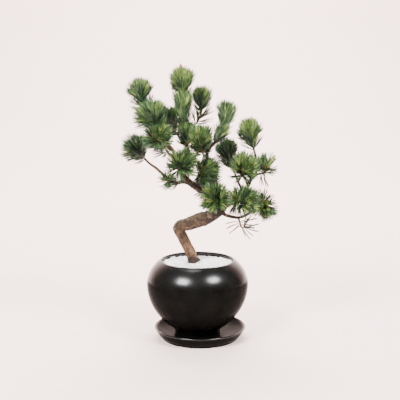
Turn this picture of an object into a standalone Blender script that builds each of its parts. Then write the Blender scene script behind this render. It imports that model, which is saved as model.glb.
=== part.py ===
"""A small japanese white pine trained in a round black glazed pot on its saucer, with white gravel.

Lengths below are millimetres and become metres when a mesh is made. X is across, +Y is away from
the front, +Z is up. The origin is the centre of the saucer's flat underside.
"""
import math
import random

import bmesh
import bpy
import numpy as np
from mathutils import Vector

MM = 0.001
CLEAR = 0.3

# Pot, saucer and filling
POT_X = -3.2
POT_WIDEST_R = 64.6
POT_WIDEST_Z = 70.0
POT_UPPER_RISE = 46.0
POT_LOWER_DROP = 65.0
POT_LOWER_POWER = 1.9
POT_SHOULDER_Z = 99.0
POT_LIP_Z = 101.3
POT_LIP_R = 46.8
POT_MOUTH_R = 44.8
POT_WALL = 4.2
POT_FLOOR_Z = 14.5
POT_FOOT_R = 29.0
POT_FOOT_Z = 12.6
POT_OUTER_HEIGHTS = (14.6, 22.0, 31.0, 41.0, 52.0, 63.0, 73.0, 82.0, 89.0, 95.0, POT_SHOULDER_Z)
POT_NECK_Z = 97.0
POT_INNER_HEIGHTS = (86.0, 70.0, 52.0, 36.0, 24.0)
POT_SIDES = 32
EDGE_ROUND = 0.8
SAUCER_FOOT_R = 49.5
SAUCER_LIP_R = 58.4
SAUCER_LIP_Z = 14.8
SAUCER_FLOOR_Z = 6.2
SAUCER_FLOOR_R = 36.0
SAUCER_FLARE = ((53.5, 5.5), (56.8, 10.5))
SAUCER_DISH = ((55.9, 13.6), (50.0, 9.6), (43.0, 7.2))
POT_SEAT = 0.2
SOIL_TOP_Z = 92.5
GRAVEL_TOP_Z = 97.6
GRAVEL_R = 44.3
GRAVEL_BUMP = 0.8
GRAVEL_FALL = 3.2
GRAVEL_FALL_POWER = 1.3
GRAVEL_RINGS = 6
GRAVEL_SIDES = 20
GRAVEL_SEAT_MARGIN = 8.0

# Limbs: points of each centre line from its foot to its tip, then foot and tip radius
TRUNK_FOOT_Z = GRAVEL_TOP_Z + CLEAR
TRUNK_FLARE_R = 8.4
TRUNK_FLARE_RISE = 7.0
TRUNK_POINTS = (
    (-7.3, 0.0, TRUNK_FOOT_Z), (-14.1, 0.0, 114.9), (-21.4, 0.0, 129.2), (-26.6, 0.0, 139.8),
    (-24.6, 0.0, 145.0), (-15.8, 0.0, 147.0), (-5.9, 0.0, 150.6), (5.1, 0.0, 154.2),
    (16.4, 0.0, 158.8), (24.6, 1.0, 163.1), (29.7, 3.0, 169.8), (27.8, 5.0, 177.2),
    (20.2, 6.0, 183.4), (10.1, 6.0, 186.6), (-1.3, 5.0, 191.9), (-11.3, 4.0, 198.4),
    (-17.0, 3.0, 203.6),
)
TRUNK_RADII = (6.6, 6.5, 6.6, 7.1, 7.7, 8.1, 8.8, 9.6, 7.4, 5.4, 5.2, 5.0, 4.8, 4.7, 4.6, 4.2, 4.4)
TRUNK_SIDES = 10
BARK_ROUGHNESS = 0.04
FINE_STEP = 0.25
TRUNK_RING_STEP = 4.4
BOUGH_SIDES = 6
BOUGH_RING_STEP = 6.5
BOUGHS = {
    "top_leader": (
        ((-17.6, 4.0, 204.0), (-13.8, 6.0, 217.8), (-12.0, 8.0, 230.3), (-15.1, 8.0, 241.6),
         (-18.8, 6.0, 254.4), (-21.2, 3.0, 267.1), (-22.3, 0.0, 281.0), (-22.0, 0.0, 292.0),
         (-21.6, 0.0, 303.0)), 2.9, 1.2),
    "top_low_bough": (
        ((-20.8, 3.5, 264.0), (-20.8, -4.5, 267.5), (-20.4, -7.5, 272.0)), 1.6, 1.1),
    "left_high_bough": (
        ((-17.5, 3.0, 201.0), (-25.5, -4.0, 221.6), (-32.1, -10.0, 239.7), (-41.2, -14.0, 251.3),
         (-46.4, -18.0, 260.2), (-49.3, -20.0, 268.9)), 3.0, 1.7),
    "upper_left_bough": (
        ((-46.4, -18.0, 260.2), (-54.3, -6.0, 274.0), (-62.9, -4.0, 286.2), (-68.9, -5.0, 297.3)),
        1.9, 1.2),
    "mid_left_bough": (
        ((-15.1, 8.0, 241.6), (-24.5, 10.0, 253.4), (-30.2, 12.0, 262.0)), 1.8, 1.2),
    "left_mid_bough": (
        ((-34.0, -11.0, 242.0), (-44.0, -20.0, 248.1), (-51.2, -22.0, 252.6)), 1.6, 1.1),
    "far_left_lower_bough": (
        ((-13.0, 4.0, 199.5), (-22.6, 2.0, 201.0), (-30.2, 2.0, 199.1), (-37.5, 3.0, 201.1)),
        2.8, 2.4),
    "far_left_bough": (
        ((-36.5, 3.0, 200.8), (-47.9, 6.0, 210.9), (-55.5, 8.0, 217.6), (-63.7, 10.0, 223.1),
         (-70.0, 11.0, 229.3)), 2.3, 1.4),
    "centre_left_bough": (
        ((-17.0, 3.0, 201.5), (-21.2, -8.0, 210.0), (-24.7, -16.0, 216.0), (-25.7, -24.0, 221.0)),
        1.9, 1.2),
    "centre_up_bough": (
        ((-15.0, 7.6, 240.6), (-15.5, -1.5, 243.0), (-15.7, -6.0, 247.5)), 1.6, 1.1),
    "high_mid_bough": (
        ((-20.6, 3.8, 264.0), (-12.6, 12.0, 269.5), (-5.0, 16.0, 273.0), (0.0, 18.0, 281.1)),
        1.6, 1.1),
    "high_right_bough": (
        ((22.0, 6.0, 182.5), (18.9, 6.0, 201.3), (12.5, 2.0, 218.3), (8.1, -2.0, 231.4),
         (11.2, -4.0, 242.2), (18.6, -5.0, 251.0), (24.1, -6.0, 260.4)), 3.0, 1.5),
    "centre_bough": (
        ((8.6, -1.5, 230.0), (5.0, -8.5, 235.0), (2.8, -15.0, 240.0)), 1.7, 1.1),
    "right_lower_bough": (
        ((28.5, 3.0, 167.5), (44.2, 4.0, 178.0), (54.3, 5.0, 186.8), (60.5, 5.0, 196.4)), 3.2, 2.4),
    "right_upper_bough": (
        ((60.5, 5.0, 196.4), (64.6, 5.5, 203.6), (69.3, 6.0, 208.8), (71.7, 6.0, 220.4),
         (69.7, 7.0, 232.9), (66.9, 8.0, 244.1)), 2.2, 1.3),
    "right_back_bough": (
        ((54.3, 5.0, 186.8), (49.5, 17.0, 197.1), (44.9, 26.0, 207.6), (41.2, 30.0, 216.1)),
        1.8, 1.2),
    "right_mid_bough": (
        ((60.5, 5.0, 196.4), (56.5, -5.0, 205.0), (51.2, -15.0, 211.7)), 1.7, 1.1),
    "far_right_bough": (
        ((69.3, 6.0, 208.8), (74.5, 3.5, 210.6), (79.0, 1.5, 211.8)), 1.5, 1.1),
    "low_right_bough": (
        ((24.6, 1.0, 163.1), (33.4, 0.0, 158.5), (41.6, -2.0, 156.6), (50.4, -3.0, 156.4),
         (59.8, -2.0, 159.8), (68.7, 0.0, 165.2), (76.4, 2.0, 170.7)), 2.4, 1.2),
    "lower_spur": (
        ((48.0, -3.0, 157.0), (49.4, -4.0, 152.6), (50.6, -5.0, 148.6)), 1.3, 1.0),
    "low_mid_bough": (
        ((35.0, 3.4, 172.0), (41.5, -7.0, 175.5), (46.6, -13.0, 176.4)), 1.6, 1.1),
    "low_left_bough": (
        ((27.0, 3.0, 169.5), (24.0, -13.0, 174.5), (21.6, -22.0, 180.4)), 1.8, 1.2),
    "centre_low_bough": (
        ((-1.3, 5.0, 191.9), (-3.8, -2.0, 205.0), (-1.9, -6.0, 211.8)), 1.7, 1.2),
    "back_left_bough": (
        ((-15.6, 5.0, 200.5), (-25.5, 20.0, 211.0), (-36.0, 32.0, 227.6), (-44.0, 40.0, 237.1)),
        2.2, 1.3),
    "back_low_bough": (
        ((14.0, 6.0, 185.3), (10.3, 22.0, 187.4), (6.5, 32.0, 187.2)), 1.9, 1.2),
    "back_mid_bough": (
        ((13.5, 3.0, 215.4), (10.1, 16.0, 231.9), (7.7, 28.0, 240.9)), 1.9, 1.2),
}

# Foliage masses: bough, centre of its space, half sizes, number of shoots, spread of the side ones in degrees
MASSES = {
    "top_mass": ("top_leader", (-21, 0, 327), (15, 17, 22), 3, 16),
    "top_low_mass": ("top_low_bough", (-20, -4, 289), (13, 16, 24), 3, 22),
    "upper_left_mass": ("upper_left_bough", (-73, -5, 312), (18, 18, 22), 3, 24),
    "left_high_mass": ("left_high_bough", (-59, -19, 287), (23, 24, 23), 4, 30),
    "mid_left_mass": ("mid_left_bough", (-36, 14, 277), (13, 20, 19), 2, 20),
    "left_mid_mass": ("left_mid_bough", (-56, -28, 262), (16, 19, 15), 3, 30),
    "far_left_mass": ("far_left_bough", (-81, 12, 244), (20, 24, 22), 4, 34),
    "left_low_mass": ("far_left_lower_bough", (-46, -7, 202), (16, 18, 15), 1, 0),
    "centre_left_mass": ("centre_left_bough", (-23, -33, 227), (23, 20, 22), 4, 38),
    "centre_up_mass": ("centre_up_bough", (-16, -10, 262), (13, 15, 17), 2, 22),
    "centre_mass": ("centre_bough", (2, -26, 254), (16, 19, 24), 4, 26),
    "high_mid_mass": ("high_mid_bough", (4, 20, 300), (13, 16, 24), 2, 18),
    "high_right_mass": ("high_right_bough", (34, -6, 283), (16, 16, 26), 2, 10),
    "right_top_mass": ("right_upper_bough", (62, 9, 263), (17, 20, 22), 3, 24),
    "right_back_mass": ("right_back_bough", (34, 36, 236), (15, 20, 18), 2, 24),
    "right_mid_mass": ("right_mid_bough", (53, -25, 224), (19, 20, 22), 4, 32),
    "far_right_mass": ("far_right_bough", (82, -3, 217), (15, 20, 23), 3, 50),
    "centre_low_mass": ("centre_low_bough", (11, -13, 216), (21, 19, 18), 4, 38),
    "low_left_mass": ("low_left_bough", (17, -34, 187), (23, 20, 16), 4, 38),
    "low_mid_mass": ("low_mid_bough", (54, -20, 182), (22, 20, 19), 4, 38),
    "low_right_mass": ("low_right_bough", (82, 2, 174), (18, 22, 22), 4, 40),
    "lower_mass": ("lower_spur", (54, -7, 143), (21, 18, 17), 1, 0),
    "back_left_mass": ("back_left_bough", (-53, 47, 246), (20, 20, 21), 3, 34),
    "back_low_mass": ("back_low_bough", (10, 45, 188), (23, 20, 20), 3, 36),
    "back_mid_mass": ("back_mid_bough", (9, 43, 252), (19, 20, 22), 3, 34),
}
SEED = 41
STEM_R = 1.0
STEM_STEP = 3.0
STEM_SHORTEST = 4.0
STEM_SHARE = 0.3

# Shoots: a slim core, bare at its foot, with needles leaning less and less towards its tip
SHOOT_SIDES = 5
SHOOT_TWIST = 0.5
SHOOT_BASE_R = 0.85
SHOOT_CORE_R = 1.15
SHOOT_TIP_R = 0.6
SHOOT_SHORTEST = 13.6
SHOOT_LONGEST = 38.0
SHOOT_LEAF_STEP = 5.2
SHOOT_BARE_PART = 0.2
SHOOT_SAG = 0.06
FIRST_SHOOT_ANGLE = 8.0
SPREAD_JITTER = 6.0
SUNK = 0.4
SUNK_MORE = 0.18
BUD_LENGTH = 3.0
GOLDEN_TURN = 2.39996
NEEDLE_LENGTH = 20.0
NEEDLE_SHORTEST = 10.0
NEEDLE_CUT = 2.5
NEEDLE_R = 0.45
NEEDLE_ROOT = 0.2
LEAN_AT_FOOT = 58.0
LEAN_AT_TIP = 14.0
LEAN_JITTER = 2.5
SIDE_JITTER = 0.12
SPACING = 0.25
OWN_SPACING = 0.1
LIMB_SPACING = 0.9
SPACE_LIMIT = 1.12
CELL_MARGIN = 0.06


def clear_scene():
    for thing in list(bpy.data.objects):
        bpy.data.objects.remove(thing, do_unlink=True)


def make_material(name, colour, roughness):
    material = bpy.data.materials.new(name)
    material.use_nodes = True
    shader = material.node_tree.nodes["Principled BSDF"]
    shader.inputs["Base Color"].default_value = (*colour, 1.0)
    shader.inputs["Roughness"].default_value = roughness
    material.diffuse_color = (*colour, 1.0)
    return material


def add_object(name, vertices, faces, material):
    mesh = bpy.data.meshes.new(name)
    mesh.from_pydata([Vector(v) * MM for v in vertices], [], faces)
    shape = bmesh.new()
    shape.from_mesh(mesh)
    bmesh.ops.recalc_face_normals(shape, faces=shape.faces[:])
    shape.to_mesh(mesh)
    shape.free()
    mesh.materials.append(material)
    thing = bpy.data.objects.new(name, mesh)
    bpy.context.scene.collection.objects.link(thing)
    return thing


def turned(name, profile, centre_x, sides, material):
    """A closed turned body. The profile runs from the axis round the section and back to the axis."""
    vertices = [(centre_x, 0.0, profile[0][1])]
    faces = []
    for radius, height in profile[1:-1]:
        for k in range(sides):
            angle = math.tau * k / sides
            vertices.append((centre_x + radius * math.cos(angle), radius * math.sin(angle), height))
    vertices.append((centre_x, 0.0, profile[-1][1]))
    rings = len(profile) - 2
    last = len(vertices) - 1
    for k in range(sides):
        after = (k + 1) % sides
        faces.append((0, 1 + after, 1 + k))
        for ring in range(rings - 1):
            low = 1 + ring * sides
            high = low + sides
            faces.append((low + k, low + after, high + after, high + k))
        top = 1 + (rings - 1) * sides
        faces.append((top + k, top + after, last))
    return add_object(name, vertices, faces, material)


def pot_radius(z):
    """Outer radius of the pot's wall at a height."""
    if z >= POT_WIDEST_Z:
        return POT_WIDEST_R * math.sqrt(1 - ((z - POT_WIDEST_Z) / POT_UPPER_RISE) ** 2)
    drop = (POT_WIDEST_Z - z) / POT_LOWER_DROP
    return POT_WIDEST_R * (1 - drop ** POT_LOWER_POWER) ** (1 / POT_LOWER_POWER)


def pot_inside(z):
    """Inner radius of the pot's wall at a height."""
    return pot_radius(z) - POT_WALL


def build_saucer(material):
    profile = [(0, 0), (SAUCER_FOOT_R - EDGE_ROUND, 0), (SAUCER_FOOT_R, EDGE_ROUND)]
    profile += SAUCER_FLARE
    profile += [(SAUCER_LIP_R - 0.2, SAUCER_LIP_Z - 1.4), (SAUCER_LIP_R - 0.7, SAUCER_LIP_Z - 0.2)]
    profile += [(SAUCER_LIP_R - 1.7, SAUCER_LIP_Z)]
    profile += SAUCER_DISH
    profile += [(SAUCER_FLOOR_R, SAUCER_FLOOR_Z), (0, SAUCER_FLOOR_Z)]
    return turned("saucer", profile, 0.0, POT_SIDES, material)


def build_pot(material):
    foot_z = SAUCER_FLOOR_Z + POT_SEAT
    profile = [(0, foot_z), (POT_FOOT_R - EDGE_ROUND, foot_z), (POT_FOOT_R, foot_z + EDGE_ROUND)]
    profile += [(POT_FOOT_R, POT_FOOT_Z)]
    profile += [(pot_radius(z), z) for z in POT_OUTER_HEIGHTS]
    profile += [(POT_LIP_R, POT_LIP_Z - 0.3), (POT_LIP_R - 0.9, POT_LIP_Z)]
    profile += [(POT_MOUTH_R, POT_LIP_Z - 0.7), (POT_MOUTH_R, POT_NECK_Z)]
    profile += [(pot_inside(z), z) for z in POT_INNER_HEIGHTS]
    profile += [(pot_inside(POT_FLOOR_Z + 3.0), POT_FLOOR_Z), (0, POT_FLOOR_Z)]
    return turned("pot", profile, POT_X, POT_SIDES, material)


def build_soil(material):
    """The soil fills the pot, clear of its faceted wall at the same heights as the wall's corners."""
    floor = POT_FLOOR_Z + CLEAR
    profile = [(0, floor), (pot_inside(POT_FLOOR_Z + 3.0) - 2.0, floor)]
    profile += [(pot_inside(z) - 2 * CLEAR, z) for z in reversed(POT_INNER_HEIGHTS[1:])]
    profile += [(POT_MOUTH_R - 2 * CLEAR, SOIL_TOP_Z), (0, SOIL_TOP_Z)]
    return turned("soil", profile, POT_X, POT_SIDES, material)


def build_gravel(material):
    """A bed of crushed stone: uneven, falling to the back, with a flat seat under the trunk."""
    chance = random.Random(SEED)
    low = SOIL_TOP_Z + CLEAR
    seat_x, seat_y = TRUNK_POINTS[0][0], TRUNK_POINTS[0][1]
    vertices = [(POT_X, 0.0, low)]
    radii = [GRAVEL_R] + [GRAVEL_R * k / GRAVEL_RINGS for k in range(GRAVEL_RINGS, 0, -1)]
    for ring, radius in enumerate(radii):
        for k in range(GRAVEL_SIDES):
            angle = math.tau * (k + 0.5 * (ring % 2) * (ring > 1)) / GRAVEL_SIDES
            x = POT_X + radius * math.cos(angle)
            y = radius * math.sin(angle)
            if ring == 0:
                z = low
            elif math.hypot(x - seat_x, y - seat_y) < TRUNK_FLARE_R + GRAVEL_SEAT_MARGIN:
                z = GRAVEL_TOP_Z
            else:
                fall = GRAVEL_FALL * max(y / GRAVEL_R, 0.0) ** GRAVEL_FALL_POWER
                z = GRAVEL_TOP_Z - fall + chance.uniform(-GRAVEL_BUMP, GRAVEL_BUMP)
            vertices.append((x, y, z))
    vertices.append((POT_X, 0.0, GRAVEL_TOP_Z))
    faces = []
    last = len(vertices) - 1
    for k in range(GRAVEL_SIDES):
        after = (k + 1) % GRAVEL_SIDES
        faces.append((0, 1 + after, 1 + k))
        for ring in range(len(radii) - 1):
            a = 1 + ring * GRAVEL_SIDES
            b = a + GRAVEL_SIDES
            faces.append((a + k, a + after, b + after, b + k))
        top = 1 + (len(radii) - 1) * GRAVEL_SIDES
        faces.append((top + k, top + after, last))
    return add_object("gravel", vertices, faces, material)


def smooth_path(points, values, step):
    """Points about one step apart on a smooth curve through the given points, with their values."""
    ends = [points[0] * 2 - points[1]] + points + [points[-1] * 2 - points[-2]]
    path = [points[0]]
    along = [values[0]]
    for i in range(len(points) - 1):
        p0, p1, p2, p3 = ends[i:i + 4]
        parts = max(2, round((p2 - p1).length / step))
        for k in range(1, parts + 1):
            t = k / parts
            bend = (p2 - p0) * t + (p0 * 2 - p1 * 5 + p2 * 4 - p3) * t * t
            bend += (p1 * 3 - p0 - p2 * 3 + p3) * t * t * t
            path.append(p1 + bend * 0.5)
            along.append(values[i] + (values[i + 1] - values[i]) * t)
    return path, along


def limb_distance(points, path, radii):
    """Distance of each point from the surface of a limb that ends in flat faces."""
    points = np.asarray(points, float)
    a = np.array(path[:-1], float)
    b = np.array(path[1:], float)
    ra = np.array(radii[:-1], float)
    rb = np.array(radii[1:], float)
    d = b - a
    length = np.linalg.norm(d, axis=1)
    rel = points[:, None, :] - a[None]
    t = np.einsum("pij,ij->pi", rel, d) / length ** 2
    held = np.clip(t, 0, 1)
    away = np.linalg.norm(rel - held[..., None] * d[None], axis=2)
    near = away - (ra + (rb - ra) * held)
    past = np.maximum(-t[:, 0], 0) * length[0]
    flat = np.sqrt(np.maximum(away[:, 0] ** 2 - past ** 2, 0)) - ra[0]
    near[:, 0] = np.where(past > 0, np.hypot(past, np.maximum(flat, 0)), near[:, 0])
    past = np.maximum(t[:, -1] - 1, 0) * length[-1]
    flat = np.sqrt(np.maximum(away[:, -1] ** 2 - past ** 2, 0)) - rb[-1]
    near[:, -1] = np.where(past > 0, np.hypot(past, np.maximum(flat, 0)), near[:, -1])
    return near.min(axis=1)


def frame_at(path, i, side):
    """The direction of a path at a point, and two axes across it that turn little along the path."""
    a = path[max(i - 1, 0)]
    b = path[min(i + 1, len(path) - 1)]
    along = (b - a).normalized()
    side = (side - along * side.dot(along)).normalized()
    return along, side, along.cross(side)


def ring_points(centre, side, other, radius, sides, turn=0.0):
    angles = [math.tau * k / sides + turn for k in range(sides)]
    return [centre + side * (radius * math.cos(t)) + other * (radius * math.sin(t)) for t in angles]


def thin_out(path, radii, step):
    """Every nth point of a fine path, about one step apart, always with both ends."""
    length = sum((b - a).length for a, b in zip(path, path[1:]))
    parts = max(2, round(length / step))
    picks = sorted({round(k * (len(path) - 1) / parts) for k in range(parts + 1)})
    return [path[k] for k in picks], [radii[k] for k in picks]


def trimmed(path, radii, others, step):
    """A limb cut to start at the first point where it is clear of every other limb."""
    fine, fine_r = smooth_path(path, radii, FINE_STEP)
    for i in range(len(fine) - 4):
        spaced, spaced_r = thin_out(fine[i:], fine_r[i:], step)
        _, side, other = frame_at(spaced, 0, Vector((0.3, -0.9, 0.2)))
        rings = []
        for t in (0.0, 0.3, 0.6):
            centre = spaced[0].lerp(spaced[1], t)
            for part in (0.0, 0.35, 0.7, 1.04):
                rings += ring_points(centre, side, other, spaced_r[0] * part, 12)
        if all(limb_distance(rings, p, r).min() > CLEAR for p, r in others):
            return spaced, spaced_r
    raise ValueError("a bough lies inside another limb")


def limb_mesh(path, radii, sides, rough, seed, level_foot=False):
    """Vertices and faces of a tapering limb with flat ends and slightly uneven bark."""
    chance = random.Random(seed)
    vertices = []
    faces = []
    side = Vector((1.0, 0.0, 0.0))
    for i, (centre, radius) in enumerate(zip(path, radii)):
        along, side, other = frame_at(path, i, side)
        if i == 0 and level_foot:
            side, other = Vector((1, 0, 0)), Vector((0, 1, 0))
        for point in ring_points(centre, side, other, 1.0, sides):
            swell = radius * (1 + chance.uniform(-rough, rough))
            vertices.append(centre + (point - centre) * swell)
    rings = len(path)
    for i in range(rings - 1):
        a = i * sides
        for k in range(sides):
            after = (k + 1) % sides
            faces.append((a + k, a + after, a + sides + after, a + sides + k))
    faces.append(tuple(range(sides - 1, -1, -1)))
    top = (rings - 1) * sides
    faces.append(tuple(range(top, top + sides)))
    return vertices, faces


def trunk_limb():
    """The trunk's path and radii, with the root flare at its foot."""
    points = [Vector(p) for p in TRUNK_POINTS]
    path, radii = smooth_path(points, list(TRUNK_RADII), TRUNK_RING_STEP)
    foot = path[0].z
    for i, point in enumerate(path):
        rise = (point.z - foot) / TRUNK_FLARE_RISE
        if i < 6 and rise < 1:
            radii[i] += (TRUNK_FLARE_R - TRUNK_RADII[0]) * (1 - rise) ** 2
    return path, radii


def all_limbs():
    """Every limb as a path and radii: the trunk first, then each bough cut clear of the earlier ones."""
    limbs = {"trunk": trunk_limb()}
    for name, (points, foot_r, tip_r) in BOUGHS.items():
        points = [Vector(p) for p in points]
        spans = [0.0]
        for a, b in zip(points, points[1:]):
            spans.append(spans[-1] + (b - a).length)
        radii = [foot_r + (tip_r - foot_r) * s / spans[-1] for s in spans]
        limbs[name] = trimmed(points, radii, list(limbs.values()), BOUGH_RING_STEP)
    return limbs


def spread_direction(lead, turn, angle):
    """A direction at an angle from the lead, turned about it."""
    side = lead.cross(Vector((0.2, 1.0, 0.1))).normalized()
    other = lead.cross(side)
    across = side * math.cos(turn) + other * math.sin(turn)
    return (lead * math.cos(angle) + across * math.sin(angle)).normalized()


def scaled_by(direction, half):
    return Vector((direction.x * half[0], direction.y * half[1], direction.z * half[2]))


def mass_twigs(name, limbs):
    """The stem of a mass and its shoots, each a path in the mass's own space."""
    bough, centre, half, count, spread = MASSES[name]
    chance = random.Random(SEED + list(MASSES).index(name))
    path, _ = limbs[bough]
    out = (path[-1] - path[-2]).normalized()
    foot = path[-1] - out * CLEAR
    centre = Vector(centre)
    lead = centre - foot
    bend = foot + out * STEM_STEP
    heart = bend + lead.normalized() * max(STEM_SHORTEST, lead.length * STEM_SHARE)
    stem, _ = trimmed([foot, bend, heart], [STEM_R] * 3, list(limbs.values()), STEM_STEP)
    lead = (centre - heart).normalized()
    shoots = []
    for i in range(count):
        aim = lead
        if count > 1:
            turn = i * GOLDEN_TURN + chance.uniform(-0.4, 0.4)
            angle = spread + chance.uniform(-SPREAD_JITTER, SPREAD_JITTER) if i else FIRST_SHOOT_ANGLE
            aim = spread_direction(lead, turn, math.radians(angle))
        aim = scaled_by(aim, half).normalized()
        start = stem[-1].lerp(stem[-2], SUNK + SUNK_MORE * i)
        reach = (centre + scaled_by(aim, half) - start).length - NEEDLE_LENGTH * 0.7
        length = min(max(reach, SHOOT_SHORTEST), SHOOT_LONGEST)
        upward = (aim + lead * 0.5 + Vector((0, 0, 0.25))).normalized()
        tip = start + (aim * 0.7 + upward * 0.3).normalized() * length
        middle = start.lerp(tip, 0.5) - Vector((0, 0, length * SHOOT_SAG))
        shoots.append([start, middle, tip])
    return stem, shoots


def in_space(points, name, spaces):
    """True where every point lies in the ellipsoid of a mass and nearer to it than to any other."""
    depth = {other: np.linalg.norm((points - c) / h, axis=1) for other, (c, h) in spaces.items()}
    own = depth.pop(name)
    if (own ** 2 > SPACE_LIMIT).any():
        return False
    return all((other >= own + CELL_MARGIN).all() for other in depth.values())


class Filled:
    """The needles placed so far, as segments, for keeping later ones apart from them."""

    def __init__(self):
        self.starts = np.empty((0, 3))
        self.ends = np.empty((0, 3))

    def free(self, start, end, gap):
        if not len(self.starts):
            return True
        along = np.linspace(0.15, 1, 9)[:, None]
        points = start + (end - start) * along
        d = self.ends - self.starts
        rel = points[:, None, :] - self.starts[None]
        t = np.clip(np.einsum("pij,ij->pi", rel, d) / np.einsum("ij,ij->i", d, d), 0, 1)
        away = np.linalg.norm(rel - t[..., None] * d[None], axis=2)
        return bool((away > gap + NEEDLE_R * ((1 - t) + (1 - along))).all())

    def add(self, pairs):
        for start, end in pairs:
            self.starts = np.vstack([self.starts, start])
            self.ends = np.vstack([self.ends, end])


class Room:
    """What a needle has to keep clear of: other masses' spaces, limbs, and needles already placed."""

    def __init__(self, limbs):
        self.limbs = list(limbs.values())
        self.spaces = {name: (np.array(m[1], float), np.array(m[2], float))
                       for name, m in MASSES.items()}
        self.filled = Filled()

    def holds(self, name, root, heading, length, own):
        def at(*shares):
            return np.array([root + heading * (length * share) for share in shares])

        end = at(1.0)[0]
        return (in_space(at(0.5, 0.8, 1.0), name, self.spaces)
                and self.filled.free(np.array(root), end, SPACING)
                and own.free(at(NEEDLE_ROOT)[0], end, OWN_SPACING)
                and all(limb_distance(at(0.1, 0.25, 0.4, 0.55, 0.7, 0.85, 1.0), *limb).min()
                        > LIMB_SPACING for limb in self.limbs))


def shoot_radii(count, bare):
    radii = [SHOOT_BASE_R] * bare
    for i in range(count - bare):
        radii.append(SHOOT_CORE_R + (SHOOT_TIP_R - SHOOT_CORE_R) * i / max(count - 1 - bare, 1))
    return radii


def needle_tip(name, root, out, axis, share, room, own, chance):
    """The tip of the longest needle that has room on this face of a shoot, or None."""
    lean = LEAN_AT_FOOT + (LEAN_AT_TIP - LEAN_AT_FOOT) * share
    lean = math.radians(lean + chance.uniform(-LEAN_JITTER, LEAN_JITTER))
    out = (out - axis * out.dot(axis)).normalized()
    across = axis.cross(out) * chance.uniform(-SIDE_JITTER, SIDE_JITTER)
    heading = (axis * math.cos(lean) + (out + across) * math.sin(lean)).normalized()
    length = NEEDLE_LENGTH * chance.uniform(0.86, 1.08)
    while length >= NEEDLE_SHORTEST:
        if room.holds(name, root, heading, length, own):
            return root + heading * length
        length -= NEEDLE_CUT
    return None


def shoot_mesh(name, path, room, chance):
    """A shoot: a slim core whose side faces stand out as needles where there is room for them."""
    fine, _ = smooth_path(path, [0.0] * len(path), SHOOT_LEAF_STEP)
    count = len(fine)
    bare = max(1, round(count * SHOOT_BARE_PART))
    vertices = []
    faces = []
    axes = []
    side = Vector((1.0, 0.2, 0.1))
    for i, (centre, radius) in enumerate(zip(fine, shoot_radii(count, bare))):
        along, side, other = frame_at(fine, i, side)
        axes.append(along)
        vertices += ring_points(centre, side, other, radius, SHOOT_SIDES, SHOOT_TWIST * i)
    own = Filled()
    placed = []
    for i in range(count - 1):
        a = i * SHOOT_SIDES
        centre = fine[i].lerp(fine[i + 1], 0.5)
        share = (i - bare) / max(count - 2 - bare, 1)
        for k in range(SHOOT_SIDES):
            after = (k + 1) % SHOOT_SIDES
            corners = (a + k, a + after, a + SHOOT_SIDES + after, a + SHOOT_SIDES + k)
            root = sum((vertices[c] for c in corners), Vector()) / 4
            tip = None
            if i >= bare:
                tip = needle_tip(name, root, root - centre, axes[i], share, room, own, chance)
            if tip is None:
                faces.append(corners)
                continue
            placed.append((root, tip))
            own.add([(root.lerp(tip, NEEDLE_ROOT), tip)])
            vertices.append(tip)
            for m in range(4):
                faces.append((corners[m], corners[(m + 1) % 4], len(vertices) - 1))
    room.filled.add(placed)
    faces.append(tuple(range(SHOOT_SIDES - 1, -1, -1)))
    vertices.append(fine[-1] + axes[-1] * BUD_LENGTH)
    top = (count - 1) * SHOOT_SIDES
    for k in range(SHOOT_SIDES):
        faces.append((top + k, top + (k + 1) % SHOOT_SIDES, len(vertices) - 1))
    return vertices, faces


def keep_largest_piece(thing):
    """Leaves only the largest connected piece of a mesh, so that no sliver or small void stays."""
    shape = bmesh.new()
    shape.from_mesh(thing.data)
    bmesh.ops.triangulate(shape, faces=shape.faces[:])
    left = set(shape.faces)
    pieces = []
    while left:
        piece = [left.pop()]
        for face in piece:
            for edge in face.edges:
                for other in edge.link_faces:
                    if len(edge.link_faces) == 2 and other in left:
                        left.discard(other)
                        piece.append(other)
        pieces.append(piece)
    pieces.sort(key=len)
    for piece in pieces[:-1]:
        bmesh.ops.delete(shape, geom=piece, context="FACES")
    shape.to_mesh(thing.data)
    shape.free()


def build_mass(name, limbs, room, material):
    """A foliage mass: its stem, with its shoots joined on by one union."""
    chance = random.Random(SEED * 3 + list(MASSES).index(name))
    stem, shoots = mass_twigs(name, limbs)
    vertices, faces = limb_mesh(stem, [STEM_R] * len(stem), SHOOT_SIDES, 0.0, SEED)
    body = add_object(name, vertices, faces, material)
    pieces = bpy.data.collections.new(name + "_shoots")
    bpy.context.scene.collection.children.link(pieces)
    for i, shoot in enumerate(shoots):
        piece = add_object(f"{name}_shoot_{i}", *shoot_mesh(name, shoot, room, chance), material)
        bpy.context.scene.collection.objects.unlink(piece)
        pieces.objects.link(piece)
    union = body.modifiers.new("join_shoots", "BOOLEAN")
    union.operation = "UNION"
    union.operand_type = "COLLECTION"
    union.collection = pieces
    union.solver = "MANIFOLD"
    bpy.context.view_layer.objects.active = body
    bpy.ops.object.modifier_apply(modifier=union.name)
    keep_largest_piece(body)
    for piece in list(pieces.objects):
        bpy.data.objects.remove(piece, do_unlink=True)
    bpy.data.collections.remove(pieces)


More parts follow.
